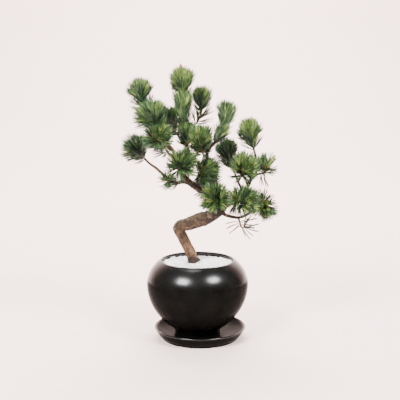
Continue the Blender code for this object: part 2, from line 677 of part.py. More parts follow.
def main():
    clear_scene()
    glaze = make_material("black_glaze", (0.012, 0.012, 0.011), 0.25)
    stone = make_material("white_gravel", (0.82, 0.81, 0.78), 0.8)
    earth = make_material("dark_soil", (0.07, 0.045, 0.03), 0.9)
    bark = make_material("bark", (0.27, 0.17, 0.10), 0.85)
    leaf = make_material("pine_needles", (0.10, 0.22, 0.08), 0.6)
    build_saucer(glaze)
    build_pot(glaze)
    build_soil(earth)
    build_gravel(stone)
    limbs = all_limbs()
    for number, (name, (path, radii)) in enumerate(limbs.items()):
        trunk = name == "trunk"
        sides = TRUNK_SIDES if trunk else BOUGH_SIDES
        mesh = limb_mesh(path, radii, sides, BARK_ROUGHNESS, SEED + number, trunk)
        add_object(name, *mesh, bark)
    room = Room(limbs)
    for name in MASSES:
        build_mass(name, limbs, room, leaf)


main()
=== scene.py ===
"""The looks of a small japanese white pine in a round black pot.

Lengths are millimetres, and become metres when a mesh is made. Names that end in _M are metres, and
so are the places and sizes of the lights and the stage.
"""

import math
import random

import bpy
import numpy as np
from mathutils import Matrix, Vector, noise


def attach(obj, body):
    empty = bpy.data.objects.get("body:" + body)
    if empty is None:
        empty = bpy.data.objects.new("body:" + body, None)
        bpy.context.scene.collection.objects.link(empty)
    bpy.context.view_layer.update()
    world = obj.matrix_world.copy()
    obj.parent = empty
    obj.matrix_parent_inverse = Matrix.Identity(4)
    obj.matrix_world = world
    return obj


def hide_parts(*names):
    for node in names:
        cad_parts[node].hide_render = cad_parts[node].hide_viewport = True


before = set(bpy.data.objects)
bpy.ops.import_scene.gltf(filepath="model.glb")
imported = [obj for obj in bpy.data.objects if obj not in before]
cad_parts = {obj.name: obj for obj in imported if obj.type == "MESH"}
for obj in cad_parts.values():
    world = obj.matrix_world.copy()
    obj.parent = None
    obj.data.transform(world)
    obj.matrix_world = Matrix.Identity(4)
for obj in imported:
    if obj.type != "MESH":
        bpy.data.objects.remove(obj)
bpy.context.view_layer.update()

MM = 0.001

# Camera, as the photograph was taken
CAMERA_AT = (0.0, -1056.0, 350.0)
CAMERA_PITCH_DEG = 9.25
CAMERA_LENS = 76.5
CAMERA_SENSOR = 36.0

# Pot. A profile is a list of radius and height, and a shine is a list of height and specular level
POT_X = -3.2
POT_WIDEST_R = 64.6
POT_WIDEST_Z = 70.0
POT_UPPER_RISE = 46.0
POT_LOWER_DROP = 65.0
POT_LOWER_POWER = 1.9
POT_BODY_Z = 14.6
POT_BODY_STEPS = 70
POT_SHOULDER_Z = 99.0
POT_LIP_Z = 101.3
POT_MOUTH_R = 44.8
POT_LIP = ((48.6, 100.0), (47.6, 100.9), (45.9, POT_LIP_Z), (45.1, 100.7), (POT_MOUTH_R, 99.4),
           (POT_MOUTH_R, 97.0))
POT_WALL = 4.2
POT_WALL_HEIGHTS = (92.0, 86.0, 70.0, 52.0, 36.0, 24.0)
POT_INSIDE_EDGE_Z = 17.5
POT_INSIDE_Z = 14.5
POT_FOOT_R = 29.0
POT_FOOT_Z = 12.6
POT_FOOT_BEAD = ((0.0, -1.8), (0.9, -1.0), (1.3, 0.0), (0.9, 0.8))
POT_SHINE = ((13.6, 0.25), (16.0, 0.006), (75.5, 0.006), (84.0, 0.36), (90.0, 0.38))
FOOT_ROUNDING = 0.8
TURNED_SIDES = 160

# Saucer, and how far above its floor the pot stands
SAUCER_FOOT_R = 49.5
SAUCER_OUTSIDE = ((50.2, 2.0), (53.5, 5.5), (56.4, 10.2))
SAUCER_LIP_R = 58.4
SAUCER_LIP_Z = 14.8
SAUCER_LIP_ROUNDING = 1.15
SAUCER_INSIDE = ((55.6, 12.9), (50.0, 9.6), (43.0, 7.2))
SAUCER_FLOOR_R = 36.0
SAUCER_MIDDLE_R = 20.0
SAUCER_FLOOR_Z = 6.2
SAUCER_SHINE = ((12.6, 0.01), (14.0, 0.5))
POT_CLEAR = 0.2

# Gravel: layers of stones, each so far under the top, which falls to the back, and a bed
GRAVEL_TOP_Z = 97.6
GRAVEL_LAYERS = (2.3, 0.6)
GRAVEL_FALL = 3.2
GRAVEL_FALL_POWER = 1.3
GRAVEL_BED = ((0, 92.8), (44.4, 92.8), (44.4, 93.2), (0, 95.0))
STONE_SIZES = (2.2, 4.0)
STONE_STRETCHES = ((0.75, 1.25), (0.75, 1.25), (0.6, 0.95))
STONE_PULLS = (0.72, 1.12)
STONE_LIFTS = (-0.6, 1.0)
STONE_SPACING = 3.0
STONE_ROW_SHARE = 0.87
STONE_LAYER_SHIFT = 0.37
STONE_SHIFT = 0.9
STONE_CLEAR = 0.2
STONE_INTO_FLARE = 1.2
STONE_TINTS = (0, 0, 0, 1, 1, 2)
STONE_COLOURS = (
    ("white_gravel_bright", (0.95, 0.95, 0.94), (0.62, 0.61, 0.60)),
    ("white_gravel_grey", (0.84, 0.84, 0.83), (0.55, 0.54, 0.53)),
    ("white_gravel_warm", (0.78, 0.75, 0.70), (0.44, 0.41, 0.38)),
)
CORNER_R = 1.9

# Bark: its colours from the trunk's foot upwards, the darker band at its foot just over the gravel,
# the graft's seam
BARK_FROM_M = 0.112
BARK_TO_M = 0.300
BARK_SWAY_M = 0.03
BARK_COLOURS = (
    (0.0, (0.50, 0.260, 0.110)), (0.16, (0.175, 0.095, 0.043)), (0.27, (0.115, 0.072, 0.032)),
    (0.40, (0.045, 0.029, 0.017)), (0.60, (0.075, 0.040, 0.021)), (1.0, (0.17, 0.072, 0.032)),
)
DULL_FROM_M = 0.006
DULL_TO_M = 0.014
COLLAR_TOP_M = 0.1048
COLLAR_SWAY_M = 0.012
COLLAR_EDGE_M = 0.0006
SEAM_X_M = 0.0082
SEAM_REACH_M = 0.0010
SEAM_TOP_M = 0.168
SEAM_EDGE_M = 0.003
TWIG_COLOURS = (
    ("twig_bark", (0.27, 0.11, 0.045)), ("young_twig_bark", (0.36, 0.17, 0.055)),
    ("bud_scales", (0.46, 0.11, 0.04)),
)
OLD_WOOD, YOUNG_WOOD, BUD_SCALES = range(3)

# Trunk: points of its centre line, the radius at each, the flare of its foot and the graft's waist.
# Parts stand clear of each other by CLEAR
CLEAR = 0.3
TRUNK_POINTS = (
    (-7.3, 0, GRAVEL_TOP_Z + CLEAR), (-14.1, 0, 114.9), (-21.4, 0, 129.2),
    (-26.6, 0, 139.8), (-24.6, 0, 145), (-15.8, 0, 147), (-5.9, 0, 150.6),
    (5.1, 0, 154.2), (16.4, 0, 158.8), (24.6, 1, 163.1), (29.7, 3, 169.8),
    (27.8, 5, 177.2), (20.2, 6, 183.4), (10.1, 6, 186.6), (-1.3, 5, 191.9),
    (-11.3, 4, 198.4), (-17, 3, 203.6),
)
TRUNK_RADII = (6.6, 6.5, 6.6, 7.1, 7.7, 8.1, 8.8, 9.6, 7.4, 5.4, 5.2, 5.0, 4.8, 4.7, 4.6, 4.2, 4.4)
TRUNK_FLARE_R = 8.4
TRUNK_FLARE_RISE = 7.0
GRAFT_X = 7.6
GRAFT_REACH = 1.5
GRAFT_WAIST = 0.07
BOUGH_STEP = 1.1

# Surface of the bark: lumps and flakes, and how far the foot of a bough swells
TRUNK_SIDES = 44
TRUNK_RELIEF = 0.55
BOUGH_RELIEF = 0.28
BOUGH_SWELL = 0.45
SWELL_REACH = 3.0
LUMP_SCALE = 0.11
LUMP_SHARE = 0.09
FLAKE_SCALE = 0.62
FLAKE_LEVEL = 0.72

# Knots: centre, direction outwards, radius, depth and a number that varies their outline
KNOTS = (
    ((1, -8, 153.5), (0.1, -1, 0.1), 2.4, 1.2, 3),
    ((-27.6, -5.5, 137), (-0.3, -1, 0.1), 1.9, 0.8, 8),
    ((28.6, -2.4, 161.4), (0.5, -0.8, -0.4), 2, 2.4, 5),
)
KNOT_RINGS = ((1.25, -0.6), (1.15, 0.0), (1.0, 0.55), (0.72, 0.95), (0.45, 0.9), (0.2, 0.45))
KNOT_SIDES = 14
KNOT_WAVES = 0.12

# Boughs: foot and tip radius of each, then the points of its centre line
BOUGHS = {
    "top_leader": (2.9, 1.2, (-17.6, 4, 204), (-13.8, 6, 217.8), (-12, 8, 230.3),
        (-15.1, 8, 241.6), (-18.8, 6, 254.4), (-21.2, 3, 267.1), (-22.3, 0, 281),
        (-22, 0, 292), (-21.6, 0, 303)),
    "top_low_bough": (1.6, 1.1, (-20.8, 3.5, 264), (-20.8, -4.5, 267.5), (-20.4, -7.5, 272)),
    "left_high_bough": (3, 1.7, (-17.5, 3, 201), (-25.5, -4, 221.6), (-32.1, -10, 239.7),
        (-41.2, -14, 251.3), (-46.4, -18, 260.2), (-49.3, -20, 268.9)),
    "upper_left_bough": (1.9, 1.2, (-46.4, -18, 260.2), (-54.3, -6, 274),
        (-62.9, -4, 286.2), (-68.9, -5, 297.3)),
    "mid_left_bough": (1.8, 1.2, (-15.1, 8, 241.6), (-24.5, 10, 253.4), (-30.2, 12, 262)),
    "left_mid_bough": (1.6, 1.1, (-34, -11, 242), (-44, -20, 248.1),
        (-51.2, -22, 252.6)),
    "far_left_lower_bough": (2.8, 2.4, (-13, 4, 199.5), (-22.6, 2, 201),
        (-30.2, 2, 199.1), (-37.5, 3, 201.1)),
    "far_left_bough": (2.3, 1.4, (-36.5, 3, 200.8), (-47.9, 6, 210.9), (-55.5, 8, 217.6),
        (-63.7, 10, 223.1), (-70, 11, 229.3)),
    "centre_left_bough": (1.9, 1.2, (-17, 3, 201.5), (-21.2, -8, 210),
        (-24.7, -16, 216), (-25.7, -24, 221)),
    "centre_up_bough": (1.6, 1.1, (-15, 7.6, 240.6), (-15.5, -1.5, 243), (-15.7, -6, 247.5)),
    "high_mid_bough": (1.6, 1.1, (-20.6, 3.8, 264), (-12.6, 12, 269.5), (-5, 16, 273),
        (0, 18, 281.1)),
    "high_right_bough": (3, 1.5, (22, 6, 182.5), (18.9, 6, 201.3), (12.5, 2, 218.3),
        (8.1, -2, 231.4), (11.2, -4, 242.2), (18.6, -5, 251), (24.1, -6, 260.4)),
    "centre_bough": (1.7, 1.1, (8.6, -1.5, 230), (5, -8.5, 235), (2.8, -15, 240)),
    "right_lower_bough": (3.2, 2.4, (28.5, 3, 167.5), (44.2, 4, 178), (54.3, 5, 186.8),
        (60.5, 5, 196.4)),
    "right_upper_bough": (2.2, 1.3, (60.5, 5, 196.4), (64.6, 5.5, 203.6), (69.3, 6, 208.8),
        (71.7, 6, 220.4), (69.7, 7, 232.9), (66.9, 8, 244.1)),
    "right_back_bough": (1.8, 1.2, (54.3, 5, 186.8), (49.5, 17, 197.1), (44.9, 26, 207.6),
        (41.2, 30, 216.1)),
    "right_mid_bough": (1.7, 1.1, (60.5, 5, 196.4), (56.5, -5, 205), (51.2, -15, 211.7)),
    "far_right_bough": (1.5, 1.1, (69.3, 6, 208.8), (74.5, 3.5, 210.6), (79, 1.5, 211.8)),
    "low_right_bough": (2.4, 1.2, (24.6, 1, 163.1), (33.4, 0, 158.5), (41.6, -2, 156.6),
        (50.4, -3, 156.4), (59.8, -2, 159.8), (68.7, 0, 165.2), (76.4, 2, 170.7)),
    "lower_spur": (1.3, 1, (48, -3, 157), (49.4, -4, 152.6), (50.6, -5, 148.6)),
    "low_mid_bough": (1.6, 1.1, (35, 3.4, 172), (41.5, -7, 175.5), (46.6, -13, 176.4)),
    "low_left_bough": (1.8, 1.2, (27, 3, 169.5), (24, -13, 174.5), (21.6, -22, 180.4)),
    "centre_low_bough": (1.7, 1.2, (-1.3, 5, 191.9), (-3.8, -2, 205), (-1.9, -6, 211.8)),
    "back_left_bough": (2.2, 1.3, (-15.6, 5, 200.5), (-25.5, 20, 211), (-36, 32, 227.6),
        (-44, 40, 237.1)),
    "back_low_bough": (1.9, 1.2, (14, 6, 185.3), (10.3, 22, 187.4), (6.5, 32, 187.2)),
    "back_mid_bough": (1.9, 1.2, (13.5, 3, 215.4), (10.1, 16, 231.9), (7.7, 28, 240.9)),
}

# Masses: bough, centre of its space, half sizes, number of shoots, degrees by which the side shoots
# spread, tone from 0, fresh yellow green, to 4, dark green, and how thickly it is leaved. The
# darker tones of the low and back masses are partly painted shade
MASSES = {
    "top_mass": ("top_leader", (-21, 0, 325), (17, 17, 22), 4, 30, 1.5, 1.1),
    "top_low_mass": ("top_low_bough", (-20, -4, 292), (14, 16, 27), 3, 20, 1.8, 0.9),
    "upper_left_mass": ("upper_left_bough", (-73, -5, 312), (19, 18, 22), 4, 32, 1.9, 0.85),
    "left_high_mass": ("left_high_bough", (-59, -19, 287), (24, 24, 23), 4, 38, 2.2, 1.0),
    "mid_left_mass": ("mid_left_bough", (-37, 12, 277), (15, 20, 20), 3, 26, 2.6, 0.8),
    "left_mid_mass": ("left_mid_bough", (-51, -28, 261), (22, 19, 16), 4, 44, 2.3, 0.9),
    "far_left_mass": ("far_left_bough", (-80, 12, 244), (22, 24, 22), 4, 46, 3.0, 0.85),
    "left_low_mass": ("far_left_lower_bough", (-41, -7, 204), (17, 18, 15), 1, 0, 2.4, 0.4),
    "centre_left_mass": ("centre_left_bough", (-22, -33, 227), (24, 20, 22), 4, 45, 2.45, 0.9),
    "centre_up_mass": ("centre_up_bough", (-17, -10, 262), (14, 16, 18), 3, 28, 2.2, 0.9),
    "centre_mass": ("centre_bough", (-1, -26, 254), (14, 19, 24), 4, 26, 2.1, 0.95),
    "high_mid_mass": ("high_mid_bough", (4, 20, 300), (17, 17, 26), 4, 24, 2.1, 0.4),
    "high_right_mass": ("high_right_bough", (34, -6, 283), (16, 16, 26), 3, 14, 1.9, 0.85),
    "right_top_mass": ("right_upper_bough", (63, 9, 263), (18, 20, 22), 4, 32, 1.5, 0.85),
    "right_back_mass": ("right_back_bough", (33, 36, 238), (16, 20, 19), 3, 28, 2.8, 1.1),
    "right_mid_mass": ("right_mid_bough", (55, -25, 224), (20, 20, 22), 4, 38, 1.8, 0.8),
    "far_right_mass": ("far_right_bough", (82, -3, 217), (15, 20, 23), 3, 50, 2.4, 0.45),
    "centre_low_mass": ("centre_low_bough", (10, -13, 216), (23, 19, 18), 4, 52, 2.4, 0.75),
    "low_left_mass": ("low_left_bough", (18, -34, 187), (23, 20, 17), 4, 42, 2.0, 0.8),
    "low_mid_mass": ("low_mid_bough", (53, -20, 180), (26, 20, 20), 4, 52, 2.2, 0.9),
    "low_right_mass": ("low_right_bough", (82, 2, 174), (19, 22, 21), 4, 48, 2.35, 0.6),
    "lower_mass": ("lower_spur", (54, -7, 143), (21, 18, 17), 1, 0, 3.9, 0.6),
    "back_left_mass": ("back_left_bough", (-53, 47, 246), (20, 20, 21), 3, 34, 2.4, 0.9),
    "back_low_mass": ("back_low_bough", (10, 45, 188), (23, 20, 20), 3, 36, 2.8, 0.9),
    "back_mid_mass": ("back_mid_bough", (5, 43, 251), (16, 20, 20), 3, 30, 2.0, 0.9),
}

# Pieces of needles: the masses in each, so that none grows too large
NEEDLE_PIECES = {
    "needles_top": ("top_mass", "top_low_mass", "high_mid_mass", "high_right_mass",
                    "mid_left_mass"),
    "needles_left": ("upper_left_mass", "left_high_mass", "left_mid_mass", "far_left_mass",
                     "left_low_mass"),
    "needles_centre": ("centre_left_mass", "centre_up_mass", "centre_mass", "centre_low_mass"),
    "needles_right": ("right_top_mass", "right_back_mass", "right_mid_mass", "far_right_mass"),
    "needles_low": ("low_left_mass", "low_mid_mass", "low_right_mass", "lower_mass"),
    "needles_back": ("back_left_mass", "back_low_mass", "back_mid_mass"),
}

# Colours of the tones, and of the paler inner sides, which a share of the needles show. The darker
# tones are partly painted shade, and so is the second, darker inner colour
NEEDLE_COLOURS = (
    (0.395, 0.445, 0.100), (0.160, 0.255, 0.060), (0.070, 0.138, 0.038), (0.031, 0.070, 0.028),
    (0.018, 0.036, 0.025))
INNER_COLOURS = ((0.30, 0.40, 0.15), (0.11, 0.19, 0.09))

# Masses with a habit of their own: lean, fan and length of needles and length of shoots, against
# the others'
USUAL = (1.0, 1.0, 1.0, 1.0)
HABITS = {
    "lower_mass": (3.2, 0.22, 1.35, 0.35), "left_low_mass": (2, 1.6, 1, 1),
    "far_right_mass": (1.25, 1.1, 1.2, 0.85), "low_right_mass": (1.15, 1, 1.1, 0.9),
    "high_right_mass": (0.8, 1, 0.9, 1), "high_mid_mass": (0.9, 0.8, 1, 1),
    "top_mass": (0.75, 1, 1.05, 1), "top_low_mass": (0.75, 0.9, 1, 1),
    "upper_left_mass": (0.72, 0.9, 1, 1), "left_high_mass": (0.85, 0.9, 1, 1),
    "right_top_mass": (0.72, 0.9, 1, 1), "mid_left_mass": (0.85, 1, 1, 1),
}

# Points of the bough, about a millimetre apart, along which needles stand below a mass
BARE_BOUGH = 5
LEAFY_BOUGH = {
    "top_mass": 26, "top_low_mass": 4, "upper_left_mass": 8, "far_left_mass": 2,
    "left_low_mass": 14, "high_mid_mass": 11, "high_right_mass": 14,
}

# Larger buds, one at the end of the first shoot of these masses: size, and how far out it stands.
# A bud's rings are places along it and radii, against its size
CANDLES = {
    "top_mass": (2.8, 9.5), "upper_left_mass": (1.6, 4), "high_right_mass": (1.2, 2),
    "high_mid_mass": (1.2, 1),
}
BUD_SIZE = 0.9
FINER_BUD_SIZE = 0.7
BUD_RINGS = ((-0.4, 0.55), (0.1, 0.75), (0.7, 0.85), (1.5, 0.72), (2.3, 0.42), (3.0, 0.12))
BUD_SIDES = 9

# The rule of growth: the stem of a mass, its shoots, and the finer ones on these, each with its
# place on the shoot and its length against it. Angles are degrees and turns are radians
SEED = 41
GOLDEN_TURN = 2.39996
STEM_R = 1.0
STEM_STEP = 3.0
STEM_SHORTEST = 4.0
STEM_SHARE = 0.3
SHOOT_SHORTEST = 13.6
SHOOT_LONGEST = 38.0
SHOOT_SAG = 0.06
SHOOT_RADII = (0.85, 0.55)
FIRST_SHOOT_ANGLE = 8.0
TURN_JITTER = 0.4
SPREAD_JITTER = 6.0
SUNK = 0.4
SUNK_MORE = 0.18
TIP_LIFT = 0.3
FINER_SHOOTS = ((0.30, 0.536), (0.55, 0.466))
FINER_ANGLES = (20.0, 32.0)
FINER_LIFT = 0.18
FINER_SAG = 0.4
FINER_RADII = (0.6, 0.42)
SPACE_POWER = 3.0
CELL_MARGIN = -0.35

# Needles: sprays along a shoot, in stages with a bare end each, and how they lean and fan, in
# degrees. A needle opens more at its root than its spray leans, and closes at its tip
NEEDLE_LENGTH = 24.0
NEEDLE_LENGTHS = (0.78, 1.08)
NEEDLE_WIDTH = 1.0
NEEDLE_REACH = 16.5
NEEDLE_STANDS_OUT = 0.5
NEEDLE_RINGS = (0.0, 0.36, 0.74, 1.0)
NEEDLE_WIDTHS = (0.75, 1.0, 0.86)
NEEDLES_PER_SPRAY = 5
SPRAYS_PER_MM = 1.9
SPRAY_TURN_JITTER = 0.25
SPRAY_FAN_DEG = 7.5
SPRAY_FANS = (0.5, 1.5)
STAGE_LENGTH = 26.0
LEAFY_PART = 0.74
TIGHTEST = 0.55
SPREAD_SHARE = 60.0
LEAN_AT_FOOT = 38.0
LEAN_LOST = 22.0
LEAN_POWER = 0.8
LEAN_JITTER = 7.0
OPENS_AT_ROOT = 7.0
CLOSES_AT_TIP = 9.0
SHORTER_AT_TIP = 0.12
BARE_FOOT, FINER_BARE_FOOT = 0.06, 0.2
FINER_LEAFAGE, FINER_NEEDLES = 0.8, 0.86
BOUGH_NEEDLES_WIDER = 1.6
BOUGH_NEEDLES_DARKER = 0.8

# A needle is shortened until its tip lies in the mass's space, and left out if it doesn't or if it
# comes near a limb
SPACE_LIMIT = 1.3
SPRAY_LIMITS = (0.62, 1.12)
NEEDLE_LIMITS = (0.95, 1.03)
SHORTENINGS = 4
SHORTENED = 0.86
LIMB_PROBE = 0.8
LIMB_CLEAR = 0.4

# Tones grow fresher towards the tip of a shoot, partly as new growth and partly as painted shade
# nearer the heart of the mass. The inner side of a needle has the paler of its two colours below a
# tone, and shows on a share of the needles; the darker of the two is partly painted shade
TONE_FALL = 3.0
TONE_TURNS_AT = 0.55
SPRAY_TONES = 0.75
NEEDLE_TONES = 0.45
PALE_INNER_BELOW = 1.7
INNER_SHARE = 0.5

# Stage, and the name, place, aim, size and power of each light
STAGE_COLOUR = (0.97, 0.765, 0.71, 1.0)
STAGE_HALF_M = 3.5
STAGE_FRONT_M = -3.0
STAGE_BEND_M = 1.1
STAGE_BEND_R_M = 0.5
STAGE_TOP_M = 3.2
LIGHTS = (
    ("soft_left", (-0.73, -0.90, 1.03), (0, 0, 0.16), (0.48, 0.38), 52),
    ("soft_right", (0.80, -0.75, 1.14), (0, 0, 0.16), (0.46, 0.36), 42),
    ("overhead", (-0.1, 0.15, 1.6), (0, 0, 0.1), (0.8, 0.6), 20),
    ("backdrop_wash", (0.0, 0.95, 1.7), (0, 1.6, 0.2), (1.4, 0.5), 118),
)
AIR_COLOUR = (1.0, 0.985, 0.97, 1.0)
AIR_STRENGTH = 0.12


def smooth_path(points, values, step):
    """Points about one step apart on a smooth curve through the given points, with their values."""
    ends = [points[0] * 2 - points[1]] + points + [points[-1] * 2 - points[-2]]
    path = [points[0]]
    along = [values[0]]
    for i in range(len(points) - 1):
        p0, p1, p2, p3 = ends[i:i + 4]
        parts = max(2, round((p2 - p1).length / step))
        for k in range(1, parts + 1):
            t = k / parts
            bend = (p2 - p0) * t + (p0 * 2 - p1 * 5 + p2 * 4 - p3) * t * t
            bend += (p1 * 3 - p0 - p2 * 3 + p3) * t * t * t
            path.append(p1 + bend * 0.5)
            along.append(values[i] + (values[i + 1] - values[i]) * t)
    return path, along


def smooth_line(points, step):
    return smooth_path(points, [0.0] * len(points), step)[0]


def limb_distance(points, path, radii):
    """Distance of each point from the surface of a limb, taken as round-ended."""
    a = np.array(path[:-1], float)
    b = np.array(path[1:], float)
    ra = np.array(radii[:-1], float)
    rb = np.array(radii[1:], float)
    d = b - a
    rel = points[:, None, :] - a
    t = np.clip(np.einsum("pij,ij->pi", rel, d) / np.einsum("ij,ij->i", d, d), 0, 1)
    away = np.linalg.norm(rel - t[..., None] * d, axis=2)
    return (away - (ra + (rb - ra) * t)).min(axis=1)


def axes_at(path, i, side):
    """Two axes across a path at a point, which turn little along it."""
    along = (path[min(i + 1, len(path) - 1)] - path[max(i - 1, 0)]).normalized()
    side = (side - along * side.dot(along)).normalized()
    return side, along.cross(side)


def add_object(name, vertices, faces, materials, slots=None, smooth=False):
    """A mesh object with its materials, and a slot for each face if there are several."""
    mesh = bpy.data.meshes.new(name)
    vertices = np.asarray(vertices, float) * MM
    mesh.from_pydata(vertices.tolist(), [], faces)
    for material in materials:
        mesh.materials.append(material)
    if slots is not None:
        mesh.polygons.foreach_set("material_index", np.asarray(slots, np.int32))
    if smooth:
        mesh.polygons.foreach_set("use_smooth", [True] * len(mesh.polygons))
    mesh.update()
    thing = bpy.data.objects.new(name, mesh)
    bpy.context.scene.collection.objects.link(thing)
    return thing


def piece_of(thing, slot, *nodes):
    """Hide the nodes that a piece replaces. All ride on the body. The slot is not used."""
    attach(thing, "root")
    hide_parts(*nodes)


def turned(name, profile, centre_x, material):
    """A smooth turned body from a profile that runs from the axis round the section and back."""
    turns = np.linspace(0, math.tau, TURNED_SIDES, endpoint=False)
    rings = np.array(profile[1:-1], float)
    x = centre_x + rings[:, :1] * np.cos(turns)
    y = rings[:, :1] * np.sin(turns)
    z = np.repeat(rings[:, 1:], TURNED_SIDES, axis=1)
    vertices = [(centre_x, 0.0, profile[0][1])]
    vertices += np.stack([x, y, z], axis=2).reshape(-1, 3).tolist()
    vertices += [(centre_x, 0.0, profile[-1][1])]
    faces = []
    last = len(vertices) - 1
    top = last - TURNED_SIDES
    for k in range(TURNED_SIDES):
        after = (k + 1) % TURNED_SIDES
        faces.append((0, 1 + after, 1 + k))
        for low in range(1, top, TURNED_SIDES):
            high = low + TURNED_SIDES
            faces.append((low + k, low + after, high + after, high + k))
        faces.append((top + k, top + after, last))
    return add_object(name, vertices, faces, [material], smooth=True)


class Nodes:
    """Short calls for building a material's node tree."""

    def __init__(self, name):
        self.material = bpy.data.materials.new(name)
        self.material.use_nodes = True
        self.tree = self.material.node_tree
        self.shader = self.tree.nodes["Principled BSDF"]
        coordinates = self.add("ShaderNodeTexCoord")
        self.place = coordinates.outputs["Object"]
        self.normal = coordinates.outputs["Normal"]

    def add(self, kind, **inputs):
        node = self.tree.nodes.new(kind)
        for key, value in inputs.items():
            self.put(node.inputs[key.replace("_", " ")], value)
        return node

    def put(self, socket, value):
        if isinstance(value, bpy.types.NodeSocket):
            self.tree.links.new(value, socket)
        else:
            socket.default_value = value

    def noise(self, scale, detail, roughness=0.55):
        node = self.add("ShaderNodeTexNoise", Vector=self.place, Scale=scale, Detail=detail,
                        Roughness=roughness)
        return node.outputs["Fac"]

    def tint(self, scale):
        """Noise as a vector, to push coordinates about."""
        node = self.add("ShaderNodeTexNoise", Vector=self.place, Scale=scale, Detail=3.0)
        return node.outputs["Color"]

    def voronoi(self, scale, vector, feature="F1"):
        node = self.add("ShaderNodeTexVoronoi", Vector=vector, Scale=scale)
        node.feature = feature
        return node.outputs["Distance"]

    def ramp(self, factor, stops):
        """A ramp of colours, or of greys where a stop is a number."""
        node = self.add("ShaderNodeValToRGB", Fac=factor)
        ramp = node.color_ramp
        while len(ramp.elements) < len(stops):
            ramp.elements.new(0.5)
        for element, (at, colour) in zip(ramp.elements, stops):
            element.position = at
            element.color = (*(colour if isinstance(colour, tuple) else [colour] * 3), 1.0)
        return node.outputs["Color"]

    def uneven(self, factor, colour, low, high):
        """The colour, from low to high times as bright."""
        return self.ramp(factor, ((0.35, tuple(c * low for c in colour)),
                                  (0.65, tuple(c * high for c in colour))))

    def mix(self, factor, a, b, blend="MIX"):
        node = self.tree.nodes.new("ShaderNodeMix")
        node.data_type = "RGBA"
        node.blend_type = blend
        self.put(node.inputs["Factor"], factor)
        self.put(node.inputs["A"], a)
        self.put(node.inputs["B"], b)
        return node.outputs["Result"]

    def darken(self, factor, base, colour):
        """The base times a colour, as far as the factor says."""
        return self.mix(factor, base, (*colour, 1.0), "MULTIPLY")

    def scaled(self, value, low, high):
        """A share made into a value from low to high."""
        node = self.add("ShaderNodeMapRange", Value=value, To_Min=low, To_Max=high)
        return node.outputs["Result"]

    def ranged(self, value, low, high):
        """The value as a share of the way from low to high."""
        node = self.add("ShaderNodeMapRange", Value=value, From_Min=low, From_Max=high)
        return node.outputs["Result"]

    def calculate(self, kind, *values):
        node = self.tree.nodes.new("ShaderNodeMath")
        node.operation = kind
        for socket, value in zip(node.inputs, values):
            self.put(socket, value)
        return node.outputs["Value"]

    def product(self, a, b):
        return self.calculate("MULTIPLY", a, b)

    def blend(self, height, wobble, top, sway, soft):
        """1 below a height in metres, 0 above it, with an edge that sways by the wobble."""
        edge = self.calculate("MULTIPLY_ADD", wobble, sway, height)
        return self.ranged(edge, top + sway / 2 + soft, top + sway / 2 - soft)

    def near(self, across, wobble, centre, reach):
        """1 at a place across, falling to 0 at the reach from it on both sides."""
        away = self.calculate("MULTIPLY_ADD", wobble, reach * 4, across)
        away = self.calculate("ABSOLUTE", self.calculate("SUBTRACT", away, centre + reach * 2))
        return self.ranged(away, reach, reach * 0.3)

    def bump(self, height, strength, distance_mm):
        node = self.add("ShaderNodeBump", Height=height, Strength=strength,
                        Distance=distance_mm * MM)
        self.put(self.shader.inputs["Normal"], node.outputs["Normal"])

    def surface(self, **inputs):
        for key, value in inputs.items():
            self.put(self.shader.inputs[key.replace("_", " ")], value)
        return self.material


def glaze_material(name, shine):
    """Black glaze with faint mottling, whose gloss changes with the height."""
    nodes = Nodes(name)
    mottle = nodes.noise(55.0, 5.0)
    specks = nodes.noise(900.0, 2.0)
    height = nodes.add("ShaderNodeSeparateXYZ", Vector=nodes.place).outputs["Z"]
    rise = nodes.ranged(height, 0.0, POT_LIP_Z * MM)
    gloss = nodes.ramp(rise, [(z / POT_LIP_Z, level) for z, level in shine])
    colour = nodes.ramp(mottle, ((0.3, (0.003, 0.003, 0.0028)), (0.75, (0.006, 0.006, 0.0052))))
    nodes.bump(nodes.mix(0.25, nodes.noise(38.0, 3.0), specks), 0.12, 0.25)
    return nodes.surface(
        Base_Color=colour, Roughness=nodes.scaled(mottle, 0.21, 0.27), Specular_IOR_Level=gloss)


def stone_material(name, light, dark):
    """White crushed stone with faint grey veins and a grainy surface."""
    nodes = Nodes(name)
    veins = nodes.noise(420.0, 6.0, 0.7)
    colour = nodes.ramp(veins, ((0.32, dark), (0.55, light), (0.8, light)))
    nodes.bump(nodes.noise(1800.0, 3.0), 0.35, 0.2)
    return nodes.surface(Base_Color=colour, Roughness=nodes.scaled(veins, 0.6, 0.85))


def soil_material():
    nodes = Nodes("dark_soil_finish")
    grain = nodes.noise(700.0, 6.0, 0.7)
    colour = nodes.ramp(grain, ((0.3, (0.02, 0.012, 0.008)), (0.7, (0.11, 0.07, 0.045))))
    nodes.bump(grain, 0.6, 0.6)
    return nodes.surface(Base_Color=colour, Roughness=nodes.scaled(grain, 0.8, 0.95))


